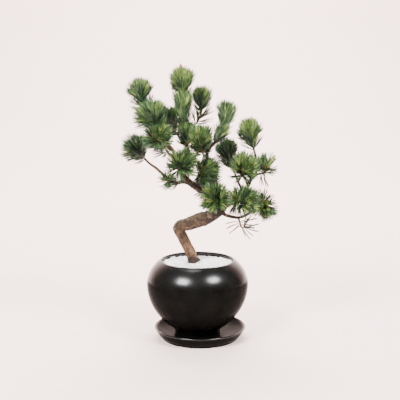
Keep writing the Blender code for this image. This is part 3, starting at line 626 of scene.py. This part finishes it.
def bark_material():
    """Bark: pale tan low on the trunk, browner past the bend, dark on the upper limbs."""
    nodes = Nodes("bark_finish")
    apart = nodes.add("ShaderNodeSeparateXYZ", Vector=nodes.place)
    across, height = apart.outputs["X"], apart.outputs["Z"]
    flakes = nodes.noise(330.0, 6.0, 0.7)

    # Colour by height, patches of it, and the duller wood past the seam
    swayed = nodes.calculate("MULTIPLY_ADD", nodes.noise(60.0, 3.0), BARK_SWAY_M, height)
    colour = nodes.ramp(nodes.ranged(swayed, BARK_FROM_M, BARK_TO_M), BARK_COLOURS)
    patches = nodes.ramp(nodes.noise(95.0, 3.0), ((0.42, 0.95), (0.58, 0.0)))
    colour = nodes.darken(patches, colour, (0.36, 0.31, 0.25))
    dull = nodes.product(nodes.ranged(across, DULL_FROM_M, DULL_TO_M), 0.85)
    colour = nodes.darken(dull, colour, (0.52, 0.52, 0.48))

    # Hollows between the flakes, fine cracks, and stains
    hollows = nodes.ramp(flakes, ((0.38, 1.0), (0.60, 0.0)))
    colour = nodes.darken(hollows, colour, (0.26, 0.21, 0.17))
    pushed = nodes.mix(0.012, nodes.place, nodes.tint(190.0))
    cracks = nodes.voronoi(420.0, pushed, "DISTANCE_TO_EDGE")
    cracks = nodes.ramp(cracks, ((0.02, 0.6), (0.14, 0.0)))
    colour = nodes.darken(cracks, colour, (0.30, 0.24, 0.20))
    stains = nodes.ramp(nodes.noise(150.0, 4.0), ((0.55, 0.0), (0.75, 0.45)))
    colour = nodes.mix(stains, colour, (0.46, 0.33, 0.20, 1.0))

    # The darker band at the trunk's foot just over the gravel, the seam of the graft, and painted
    # shade on the sides that face down
    # The bark is darkened in a band at the trunk's foot, just over the gravel
    ragged = nodes.noise(260.0, 3.0)
    collar = nodes.blend(height, ragged, COLLAR_TOP_M, COLLAR_SWAY_M, COLLAR_EDGE_M)
    colour = nodes.darken(collar, colour, (0.10, 0.07, 0.05))
    seam = nodes.near(across, nodes.noise(240.0, 2.0), SEAM_X_M, SEAM_REACH_M)
    below = nodes.blend(height, 0.0, SEAM_TOP_M, 0.0, SEAM_EDGE_M)
    colour = nodes.darken(nodes.product(seam, below), colour, (0.16, 0.12, 0.10))
    # Painted shade: the bark is darkened the more its side faces down
    facing = nodes.add("ShaderNodeSeparateXYZ", Vector=nodes.normal).outputs["Z"]
    painted_underside_shade = nodes.ramp(nodes.ranged(facing, -0.65, 0.25), ((0.0, 0.75), (1.0, 0.0)))
    colour = nodes.darken(painted_underside_shade, colour, (0.28, 0.23, 0.19))

    nodes.bump(nodes.mix(0.5, flakes, nodes.voronoi(260.0, nodes.place)), 0.7, 0.5)
    return nodes.surface(Base_Color=colour, Roughness=nodes.scaled(flakes, 0.72, 0.95))


def twig_material(name, colour):
    nodes = Nodes(name)
    grain = nodes.noise(800.0, 4.0)
    nodes.bump(grain, 0.5, 0.2)
    return nodes.surface(Base_Color=nodes.uneven(grain, colour, 0.55, 1.0),
                         Roughness=nodes.scaled(grain, 0.6, 0.85))


def needle_material(name, colour):
    """One tone of needle, a little uneven from needle to needle."""
    nodes = Nodes(name)
    patch = nodes.noise(240.0, 2.0)
    return nodes.surface(Base_Color=nodes.uneven(patch, colour, 0.72, 1.22),
                         Roughness=nodes.scaled(patch, 0.42, 0.58), Specular_IOR_Level=0.32)


def pot_radius(z):
    """The radius of the pot's round body at a height."""
    if z >= POT_WIDEST_Z:
        return POT_WIDEST_R * math.sqrt(1 - ((z - POT_WIDEST_Z) / POT_UPPER_RISE) ** 2)
    drop = (POT_WIDEST_Z - z) / POT_LOWER_DROP
    return POT_WIDEST_R * (1 - drop ** POT_LOWER_POWER) ** (1 / POT_LOWER_POWER)


def rounded(points, step):
    """A smooth line through the points of a profile."""
    return [(p.x, p.y) for p in smooth_line([Vector(point) for point in points], step)]


def arc(centre, radius, from_deg, to_deg, parts):
    turns = [math.radians(from_deg + (to_deg - from_deg) * k / parts) for k in range(parts + 1)]
    return [(centre[0] + radius * math.cos(t), centre[1] + radius * math.sin(t)) for t in turns]


def build_pot(material):
    foot = SAUCER_FLOOR_Z + POT_CLEAR
    foot_flat_r = POT_FOOT_R - FOOT_ROUNDING
    body_rise = POT_SHOULDER_Z - POT_BODY_Z
    body = [POT_BODY_Z + body_rise * k / POT_BODY_STEPS for k in range(POT_BODY_STEPS + 1)]
    bead = [(POT_FOOT_R + out, POT_FOOT_Z + up) for out, up in POT_FOOT_BEAD]
    profile = [(0, foot), (foot_flat_r, foot)]
    profile += arc((foot_flat_r, foot + FOOT_ROUNDING), FOOT_ROUNDING, -90, 0, 4)
    profile += rounded(bead + [(pot_radius(POT_BODY_Z), POT_BODY_Z)], 0.4)
    profile += [(pot_radius(z), z) for z in body[1:]]
    profile += rounded(POT_LIP, 0.4)
    profile += [(pot_radius(z) - POT_WALL, z) for z in POT_WALL_HEIGHTS]
    profile += [(pot_radius(POT_INSIDE_EDGE_Z) - POT_WALL, POT_INSIDE_Z), (0, POT_INSIDE_Z)]
    piece_of(turned("pot_body", profile, POT_X, material), "black_glaze", "pot")


def build_saucer(material):
    foot_flat_r = SAUCER_FOOT_R - FOOT_ROUNDING
    lip = (SAUCER_LIP_R - SAUCER_LIP_ROUNDING, SAUCER_LIP_Z - SAUCER_LIP_ROUNDING)
    profile = [(0, 0), (foot_flat_r, 0)]
    profile += arc((foot_flat_r, FOOT_ROUNDING), FOOT_ROUNDING, -90, -20, 4)
    profile += rounded((*SAUCER_OUTSIDE, (SAUCER_LIP_R, lip[1])), 1.0)
    profile += arc(lip, SAUCER_LIP_ROUNDING, 10, 175, 8)
    profile += rounded((*SAUCER_INSIDE, (SAUCER_FLOOR_R, SAUCER_FLOOR_Z)), 1.2)
    profile += [(SAUCER_MIDDLE_R, SAUCER_FLOOR_Z), (0, SAUCER_FLOOR_Z)]
    piece_of(turned("saucer_dish", profile, 0.0, material), "black_glaze", "saucer")


def stone_shape(chance):
    """A small angular stone: the twelve corners of an icosahedron, pulled about."""
    gold = (1 + math.sqrt(5)) / 2
    corners = [(-1, gold, 0), (1, gold, 0), (-1, -gold, 0), (1, -gold, 0), (0, -1, gold),
               (0, 1, gold), (0, -1, -gold), (0, 1, -gold), (gold, 0, -1), (gold, 0, 1),
               (-gold, 0, -1), (-gold, 0, 1)]
    size = chance.uniform(*STONE_SIZES) / CORNER_R
    stretch = [chance.uniform(*limits) for limits in STONE_STRETCHES]
    out = []
    for corner in corners:
        pull = chance.uniform(*STONE_PULLS)
        out.append([c * s * pull * size for c, s in zip(corner, stretch)])
    return np.array(out)


STONE_FACES = (
    (0, 11, 5), (0, 5, 1), (0, 1, 7), (0, 7, 10), (0, 10, 11), (1, 5, 9), (5, 11, 4),
    (11, 10, 2), (10, 7, 6), (7, 1, 8), (3, 9, 4), (3, 4, 2), (3, 2, 6), (3, 6, 8), (3, 8, 9),
    (4, 9, 5), (2, 4, 11), (6, 2, 10), (8, 6, 7), (9, 8, 1),
)


def build_gravel(materials):
    """Loose white stones in two layers over a bed, clear of the pot and of the trunk's foot."""
    chance = random.Random(SEED + 5)
    foot = Vector(TRUNK_POINTS[0])
    rows = int(POT_MOUTH_R * 2 / STONE_SPACING) + 2
    places = [(layer, row, column) for layer in range(len(GRAVEL_LAYERS)) for row in range(rows)
              for column in range(rows)]
    vertices, faces, slots = [], [], []
    for layer, row, column in places:
        x = (column - rows / 2 + 0.5 * (row % 2) + STONE_LAYER_SHIFT * layer) * STONE_SPACING
        y = (row - rows / 2) * STONE_SPACING * STONE_ROW_SHARE
        x += chance.uniform(-STONE_SHIFT, STONE_SHIFT)
        y += chance.uniform(-STONE_SHIFT, STONE_SHIFT)
        shape = stone_shape(chance)
        reach = np.abs(shape[:, :2]).max()
        if math.hypot(x, y) + reach > POT_MOUTH_R - STONE_CLEAR:
            continue
        from_trunk = math.hypot(x + POT_X - foot.x, y - foot.y)
        if from_trunk < TRUNK_FLARE_R + reach - STONE_INTO_FLARE:
            continue
        turn = chance.uniform(0, math.tau)
        c, s = math.cos(turn), math.sin(turn)
        shape = shape @ np.array(((c, -s, 0), (s, c, 0), (0, 0, 1)))
        slope = max(y / POT_MOUTH_R, 0.0) ** GRAVEL_FALL_POWER
        rise = GRAVEL_TOP_Z - GRAVEL_LAYERS[layer] - GRAVEL_FALL * slope
        rise += chance.uniform(*STONE_LIFTS)
        low = len(vertices)
        vertices += (shape + (x + POT_X, y, rise)).tolist()
        faces += [tuple(low + i for i in face) for face in STONE_FACES]
        slots += [chance.choice(STONE_TINTS)] * len(STONE_FACES)
    stones = add_object("gravel_stones", vertices, faces, materials, slots)
    piece_of(stones, "white_gravel", "gravel")
    piece_of(turned("gravel_bed", GRAVEL_BED, POT_X, materials[2]), "white_gravel", "gravel")


def tube_faces(rings, sides):
    """The faces of a closed tube whose vertices stand ring by ring."""
    last = (rings - 1) * sides
    faces = []
    for low in range(0, last, sides):
        for k in range(sides):
            after = (k + 1) % sides
            faces.append((low + k, low + after, low + sides + after, low + sides + k))
    faces.append(tuple(range(sides - 1, -1, -1)))
    faces.append(tuple(range(last, last + sides)))
    return faces


def limb_tube(path, radii, sides):
    """Vertices and faces of a closed tube along a path."""
    side = Vector((1.0, 0.0, 0.0))
    vertices = []
    for i, (centre, radius) in enumerate(zip(path, radii)):
        side, other = axes_at(path, i, side)
        for k in range(sides):
            turn = math.tau * k / sides
            vertices.append(centre + side * (radius * math.cos(turn))
                            + other * (radius * math.sin(turn)))
    return vertices, tube_faces(len(path), sides)


def trunk_limb(step):
    points = [Vector(p) for p in TRUNK_POINTS]
    path, radii = smooth_path(points, list(TRUNK_RADII), step)
    foot = path[0].z
    for i, point in enumerate(path):
        rise = (point.z - foot) / TRUNK_FLARE_RISE
        if rise < 1 and point.x > TRUNK_POINTS[1][0]:
            radii[i] += (TRUNK_FLARE_R - TRUNK_RADII[0]) * (1 - rise) ** 2
    return path, radii


def bough_limb(name, step):
    foot_r, tip_r, *points = BOUGHS[name]
    points = [Vector(p) for p in points]
    spans = [0.0]
    for a, b in zip(points, points[1:]):
        spans.append(spans[-1] + (b - a).length)
    radii = [foot_r + (tip_r - foot_r) * s / spans[-1] for s in spans]
    return smooth_path(points, radii, step)


def bark_tube(path, radii, sides, relief, foot_swell=0.0):
    """A limb as a closed tube whose surface has scales and hollows like old bark."""
    length = 0.0
    swollen = []
    for i, radius in enumerate(radii):
        length += (path[i] - path[i - 1]).length if i else 0.0
        swollen.append(radius * (1 + foot_swell * math.exp(-length / SWELL_REACH)))
    vertices, faces = limb_tube(path, swollen, sides)
    out = []
    for i, point in enumerate(vertices):
        centre = path[i // sides]
        away = point - centre
        lumps = noise.fractal(point * LUMP_SCALE, 1.0, 2.0, 2)
        flat = Vector((point.x, point.y, point.z * 0.7))
        scales = 1 - abs(noise.fractal(flat * FLAKE_SCALE, 1.0, 2.1, 4))
        swell = lumps * LUMP_SHARE + (scales - FLAKE_LEVEL) * relief / max(away.length, 0.5)
        out.append(centre + away * (1 + swell))
    return out, faces


def knot(centre, out, radius, depth, seed):
    """A low rounded boss of callused bark."""
    out = out.normalized()
    side = out.orthogonal().normalized()
    other = out.cross(side)
    vertices = []
    for share, lift in KNOT_RINGS:
        for k in range(KNOT_SIDES):
            turn = math.tau * k / KNOT_SIDES
            wave = 1 + KNOT_WAVES * noise.noise(Vector((k * 0.8, seed, share * 3)))
            vertices.append(centre + (side * math.cos(turn) + other * math.sin(turn))
                            * (radius * share * wave) + out * (depth * lift))
    return vertices, tube_faces(len(KNOT_RINGS), KNOT_SIDES)


def joined(parts):
    """Several vertex and face lists as one."""
    vertices, faces = [], []
    for part_vertices, part_faces in parts:
        low = len(vertices)
        vertices += [tuple(v) for v in part_vertices]
        faces += [tuple(low + i for i in face) for face in part_faces]
    return vertices, faces


def build_bark(material):
    path, radii = trunk_limb(0.8)
    for i, point in enumerate(path[:len(path) // 2]):
        radii[i] *= 1 - GRAFT_WAIST * math.exp(-((point.x - GRAFT_X) / GRAFT_REACH) ** 2)
    parts = [bark_tube(path, radii, TRUNK_SIDES, TRUNK_RELIEF)]
    for centre, out, radius, depth, seed in KNOTS:
        parts.append(knot(Vector(centre), Vector(out), radius, depth, seed))
    trunk = add_object("trunk_bark", *joined(parts), [material], smooth=True)
    piece_of(trunk, "bark", "trunk")
    parts = []
    for name in BOUGHS:
        path, radii = bough_limb(name, BOUGH_STEP)
        sides = 16 if max(radii) > 2.0 else 12
        parts.append(bark_tube(path, radii, sides, BOUGH_RELIEF, BOUGH_SWELL))
    boughs = add_object("boughs_bark", *joined(parts), [material], smooth=True)
    piece_of(boughs, "bark", *BOUGHS)


def spread_direction(lead, turn, angle):
    """A direction at an angle from the lead, turned about it."""
    side = lead.cross(Vector((0.2, 1.0, 0.1))).normalized()
    other = lead.cross(side)
    across = side * math.cos(turn) + other * math.sin(turn)
    return (lead * math.cos(angle) + across * math.sin(angle)).normalized()


def scaled_by(direction, half):
    return Vector((direction.x * half[0], direction.y * half[1], direction.z * half[2]))


def mass_twigs(name):
    """The stem of a mass and its shoots, each as three points."""
    bough, centre, half, count, spread = MASSES[name][:5]
    chance = random.Random(SEED + list(MASSES).index(name))
    path, _ = bough_limb(bough, BOUGH_STEP)
    out = (path[-1] - path[-6]).normalized()
    foot = path[-1] - out * CLEAR
    centre = Vector(centre)
    lead = centre - foot
    bend = foot + out * STEM_STEP
    heart = bend + lead.normalized() * max(STEM_SHORTEST, lead.length * STEM_SHARE)
    back = (bend - heart).normalized() * STEM_STEP
    lead = (centre - heart).normalized()
    shoot_length = HABITS.get(name, USUAL)[3]
    shoots = []
    for i in range(count):
        aim = lead
        if count > 1:
            turn = i * GOLDEN_TURN + chance.uniform(-TURN_JITTER, TURN_JITTER)
            angle = FIRST_SHOOT_ANGLE
            if i:
                angle = spread + chance.uniform(-SPREAD_JITTER, SPREAD_JITTER)
            aim = spread_direction(lead, turn, math.radians(angle))
        aim = scaled_by(aim, half).normalized()
        start = heart + back * (SUNK + SUNK_MORE * i)
        reach = (centre + scaled_by(aim, half) - start).length - NEEDLE_REACH
        length = min(max(reach, SHOOT_SHORTEST), SHOOT_LONGEST) * shoot_length
        upward = (aim + lead * 0.5 + Vector((0, 0, 0.25))).normalized()
        tip = start + (aim * (1 - TIP_LIFT) + upward * TIP_LIFT).normalized() * length
        middle = start.lerp(tip, 0.5) - Vector((0, 0, length * SHOOT_SAG))
        shoots.append([start, middle, tip])
    return [foot, bend, heart], shoots


def finer_shoots(shoots, chance):
    """Short twigs on the shoots of a mass, each turned on from the last by the golden angle."""
    finer = []
    for start, _, tip in shoots:
        length = (tip - start).length
        lead = (tip - start).normalized()
        for k, (share, shorter) in enumerate(FINER_SHOOTS):
            foot = start.lerp(tip, share) - Vector((0, 0, length * SHOOT_SAG * 0.8))
            turn = (k + 1) * GOLDEN_TURN + chance.uniform(0, math.tau)
            aim = spread_direction(lead, turn, math.radians(chance.uniform(*FINER_ANGLES)))
            end = foot + (aim + Vector((0, 0, FINER_LIFT))).normalized() * length * shorter
            finer.append([foot, foot.lerp(end, 0.5) - Vector((0, 0, FINER_SAG)), end])
    return finer


def unit(vectors):
    return vectors / np.linalg.norm(vectors, axis=-1, keepdims=True)


def depth_in(points, name):
    """0 at the middle of a mass's space and 1 at its rounded, slightly square edge."""
    away = np.abs((points - MASSES[name][1]) / MASSES[name][2])
    return (away ** SPACE_POWER).sum(axis=1) ** (1 / SPACE_POWER)


def in_space(points, name, limits):
    """True for each point that lies in the space of a mass and not well inside another's."""
    own = depth_in(points, name)
    good = own ** 2 <= limits
    for other in MASSES:
        if other != name:
            good &= depth_in(points, other) >= own + CELL_MARGIN
    return good


def shoot_needles(name, path, thickness, tone, rng, limbs, bare, scale=1.0, wider=1.0):
    """Needles along a shoot, in sprays: roots, first and last directions, lengths and tones."""
    line = np.array(smooth_line(path, 0.8))
    run = np.concatenate([[0.0], np.cumsum(np.linalg.norm(np.diff(line, axis=0), axis=1))])
    sprays = max(3, int(run[-1] * (1 - bare) * SPRAYS_PER_MM * thickness))
    share = (np.arange(sprays) + 0.5) / sprays
    stages = max(1, round(run[-1] / STAGE_LENGTH))
    share = (np.floor(share * stages) + (share * stages % 1.0) * LEAFY_PART) / stages
    at = (bare + (1 - bare) * share) * run[-1]

    def point_at(distance):
        return np.stack([np.interp(distance, run, line[:, k]) for k in range(3)], axis=1)

    root = point_at(at)
    axis = unit(point_at(at + 0.8) - point_at(at - 0.8))
    side = unit(np.cross(axis, (0.2, 0.9, 0.13)))
    other = np.cross(axis, side)
    turn = np.arange(sprays) * GOLDEN_TURN + rng.normal(0, SPRAY_TURN_JITTER, sprays)
    out = side * np.cos(turn)[:, None] + other * np.sin(turn)[:, None]
    lean_by, fan_by, longer, _ = HABITS.get(name, USUAL)
    opening = wider * lean_by * (TIGHTEST + MASSES[name][4] / SPREAD_SHARE)
    lean = opening * (LEAN_AT_FOOT - LEAN_LOST * share ** LEAN_POWER)
    lean = np.radians(lean + rng.normal(0, LEAN_JITTER, sprays))

    def spread(values):
        return np.repeat(values, NEEDLES_PER_SPRAY, axis=0)

    count = sprays * NEEDLES_PER_SPRAY
    root, axis, out, lean, share = (spread(v) for v in (root, axis, out, lean, share))
    around = np.tile(np.arange(NEEDLES_PER_SPRAY), sprays) * math.tau / NEEDLES_PER_SPRAY
    around = around + spread(rng.uniform(0, math.tau, sprays))
    fan = math.radians(SPRAY_FAN_DEG) * fan_by * rng.uniform(*SPRAY_FANS, count)
    across = np.cross(axis, out)

    def heading(angle, opening):
        tilt = angle + opening * np.cos(around)
        ahead = axis * np.cos(tilt)[:, None] + out * np.sin(tilt)[:, None]
        return unit(ahead + across * (opening * np.sin(around))[:, None])

    first = heading(lean + math.radians(OPENS_AT_ROOT), fan)
    last = heading(lean - math.radians(CLOSES_AT_TIP), fan * 1.1)
    length = NEEDLE_LENGTH * scale * longer * rng.uniform(*NEEDLE_LENGTHS, count)
    length = length * (1 - SHORTER_AT_TIP * share)
    root = root + out * NEEDLE_STANDS_OUT
    limits = SPACE_LIMIT * spread(rng.uniform(*SPRAY_LIMITS, sprays))
    limits = limits * rng.uniform(*NEEDLE_LIMITS, count)
    good = np.zeros(count, bool)
    for _ in range(SHORTENINGS):
        tip = root + (first + last) * (0.5 * length[:, None])
        good = in_space(tip, name, limits)
        length = np.where(good, length, length * SHORTENED)
    for limb_path, limb_radii in limbs:
        probe = root + (first + last) * (0.5 * length[:, None]) * LIMB_PROBE
        good &= limb_distance(probe, limb_path, limb_radii) > LIMB_CLEAR
    shade = tone + TONE_FALL * (TONE_TURNS_AT - share) + spread(rng.normal(0, SPRAY_TONES, sprays))
    shade = shade + rng.normal(0, NEEDLE_TONES, count)
    return [v[good] for v in (root, first, last, length, shade)]


def needle_mesh(root, first, last, length, shade, rng):
    """Vertices, faces and colour slots of needles, three-sided and bending along their length."""
    count = len(root)
    along = np.array(NEEDLE_RINGS)[None, :, None]
    turning = (last - first)[:, None, :] * 0.5 * along ** 2
    centre = root[:, None, :] + length[:, None, None] * (first[:, None, :] * along + turning)
    side = unit(np.cross(first, rng.normal(size=(count, 3))))
    other = np.cross(first, side)
    turns = (0.0, math.tau / 3, math.tau * 2 / 3)
    corners = [side * math.cos(t) + other * math.sin(t) for t in turns]
    corners = np.stack(corners, axis=1) * (NEEDLE_WIDTH / 2)
    widths = np.array(NEEDLE_WIDTHS)[None, :, None, None]
    rings = centre[:, :3, None, :] + corners[:, None, :, :] * widths
    vertices = np.concatenate([rings.reshape(count, 9, 3), centre[:, 3:, :]], axis=1)
    needle = [(2, 1, 0)]
    side_of = [0]
    for low in (0, 3, 6):
        for k in range(3):
            after = (k + 1) % 3
            ends = (9,) if low == 6 else (low + 3 + after, low + 3 + k)
            needle.append((low + k, low + after, *ends))
            side_of.append(k)
    tone = np.clip(np.rint(shade), 0, len(NEEDLE_COLOURS) - 1).astype(int)
    inner = np.where(shade < PALE_INNER_BELOW, len(NEEDLE_COLOURS), len(NEEDLE_COLOURS) + 1)
    shows_inner = rng.uniform(size=count) < INNER_SHARE
    faces, slots = [], []
    for i in range(count):
        faces += [tuple(i * 10 + v for v in face) for face in needle]
        slots += [inner[i] if k == 2 and shows_inner[i] else tone[i] for k in side_of]
    return vertices.reshape(-1, 3), faces, slots


def bud(tip, out, size):
    """A pointed bud at the end of a shoot."""
    path = [tip + out * (size * along) for along, _ in BUD_RINGS]
    return limb_tube(path, [size * radius for _, radius in BUD_RINGS], BUD_SIDES)


def shoot_wood(path, main, candle):
    """The bark of a shoot and its bud, each with its material slot. A candle's bud stands out."""
    line = smooth_line(path, 1.2)
    start_r, end_r = SHOOT_RADII if main else FINER_RADII
    radii = [start_r + (end_r - start_r) * i / (len(line) - 1) for i in range(len(line))]
    parts = [(bark_tube(line, radii, 8, 0.08), OLD_WOOD if main else YOUNG_WOOD)]
    out = (line[-1] - line[-2]).normalized()
    if not candle:
        parts.append((bud(line[-1], out, BUD_SIZE if main else FINER_BUD_SIZE), YOUNG_WOOD))
        return parts
    size, stands = candle
    tip = line[-1] + out * stands
    parts.append((limb_tube([line[-1] - out, line[-1], tip], [end_r] * 3, 8), YOUNG_WOOD))
    parts.append((bud(tip, out, size), BUD_SCALES))
    return parts


def grow_mass(name, limbs):
    """The wood of a mass, as parts with material slots, and the rows of its needles."""
    place = list(MASSES).index(name)
    rng = np.random.default_rng(SEED * 7 + place)
    chance = random.Random(SEED * 5 + place)
    tone, thickness = MASSES[name][5:]
    stem, shoots = mass_twigs(name)
    stem_path = smooth_line(stem, 0.9)
    wood = [(bark_tube(stem_path, [STEM_R] * len(stem_path), 9, 0.12), OLD_WOOD)]
    bough_path, _ = bough_limb(MASSES[name][0], BOUGH_STEP)
    leafy = bough_path[-LEAFY_BOUGH.get(name, BARE_BOUGH):-1:2] + stem[1:]
    rows = [shoot_needles(name, leafy, thickness, tone + BOUGH_NEEDLES_DARKER, rng, limbs, 0.0,
                          wider=BOUGH_NEEDLES_WIDER)]
    for i, path in enumerate(shoots):
        wood += shoot_wood(path, True, None if i else CANDLES.get(name))
        rows.append(shoot_needles(name, path, thickness, tone, rng, limbs, BARE_FOOT))
    for path in finer_shoots(shoots, chance):
        wood += shoot_wood(path, False, None)
        rows.append(shoot_needles(name, path, thickness * FINER_LEAFAGE, tone, rng, limbs,
                                  FINER_BARE_FOOT, FINER_NEEDLES))
    return wood, rows


def build_foliage(twig_materials, needle_materials):
    limbs = [trunk_limb(4.0)] + [bough_limb(name, 5.0) for name in BOUGHS]
    for piece, names in NEEDLE_PIECES.items():
        rows, twigs, slots = [], [], []
        for name in names:
            wood, mass_rows = grow_mass(name, limbs)
            rows += mass_rows
            for part, slot in wood:
                twigs.append(part)
                slots += [slot] * len(part[1])
        rng = np.random.default_rng(SEED * 11 + len(names))
        columns = [np.concatenate(column) for column in zip(*rows)]
        vertices, faces, tints = needle_mesh(*columns, rng)
        leaves = add_object(piece, vertices, faces, needle_materials, tints)
        piece_of(leaves, "pine_needles", *names)
        twigs = add_object(piece.replace("needles", "twigs"), *joined(twigs), twig_materials, slots,
                           smooth=True)
        piece_of(twigs, "bark", *names)


def soft_box(name, at, aim, size, power):
    data = bpy.data.lights.new(name, "AREA")
    data.shape = "RECTANGLE"
    data.size, data.size_y = size
    data.energy = power
    lamp = bpy.data.objects.new(name, data)
    lamp.location = at
    lamp.rotation_euler = (Vector(aim) - Vector(at)).to_track_quat("-Z", "Y").to_euler()
    bpy.context.scene.collection.objects.link(lamp)


def build_stage():
    """A pale sweep: a floor that curves up into a backdrop."""
    material = Nodes("studio_sweep").surface(Base_Color=STAGE_COLOUR, Roughness=0.9)
    profile = [(STAGE_FRONT_M, 0.0), (STAGE_BEND_M, 0.0)]
    profile += [(STAGE_BEND_M + STAGE_BEND_R_M * math.sin(t),
                 STAGE_BEND_R_M - STAGE_BEND_R_M * math.cos(t))
                for t in np.linspace(0, math.pi / 2, 14)[1:]]
    profile += [(STAGE_BEND_M + STAGE_BEND_R_M, STAGE_TOP_M)]
    vertices = [(x / MM, y / MM, z / MM) for y, z in profile for x in (-STAGE_HALF_M, STAGE_HALF_M)]
    faces = [(2 * i, 2 * i + 1, 2 * i + 3, 2 * i + 2) for i in range(len(profile) - 1)]
    add_object("studio_floor", vertices, faces, [material], smooth=True)


def build_lights():
    for light in LIGHTS:
        soft_box(*light)
    world = bpy.data.worlds.new("studio_air")
    world.use_nodes = True
    air = world.node_tree.nodes["Background"]
    air.inputs["Color"].default_value = AIR_COLOUR
    air.inputs["Strength"].default_value = AIR_STRENGTH
    bpy.context.scene.world = world


def build_camera():
    data = bpy.data.cameras.new("camera")
    data.lens = CAMERA_LENS
    data.sensor_width = CAMERA_SENSOR
    camera = bpy.data.objects.new("camera", data)
    camera.location = Vector(CAMERA_AT) * MM
    camera.rotation_euler = (math.radians(90 - CAMERA_PITCH_DEG), 0, 0)
    bpy.context.scene.collection.objects.link(camera)
    bpy.context.scene.camera = camera


def main():
    build_pot(glaze_material("black_glaze_finish", POT_SHINE))
    build_saucer(glaze_material("saucer_glaze_finish", SAUCER_SHINE))
    build_gravel([stone_material(*row) for row in STONE_COLOURS])
    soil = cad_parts["soil"].data.materials
    soil.clear()
    soil.append(soil_material())
    build_bark(bark_material())
    needles = [needle_material(f"needle_tone_{i}", tone) for i, tone in enumerate(NEEDLE_COLOURS)]
    needles += [needle_material(f"needle_inner_{i}", tone) for i, tone in enumerate(INNER_COLOURS)]
    build_foliage([twig_material(*row) for row in TWIG_COLOURS], needles)
    build_stage()
    build_lights()
    build_camera()
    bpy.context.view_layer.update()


main()
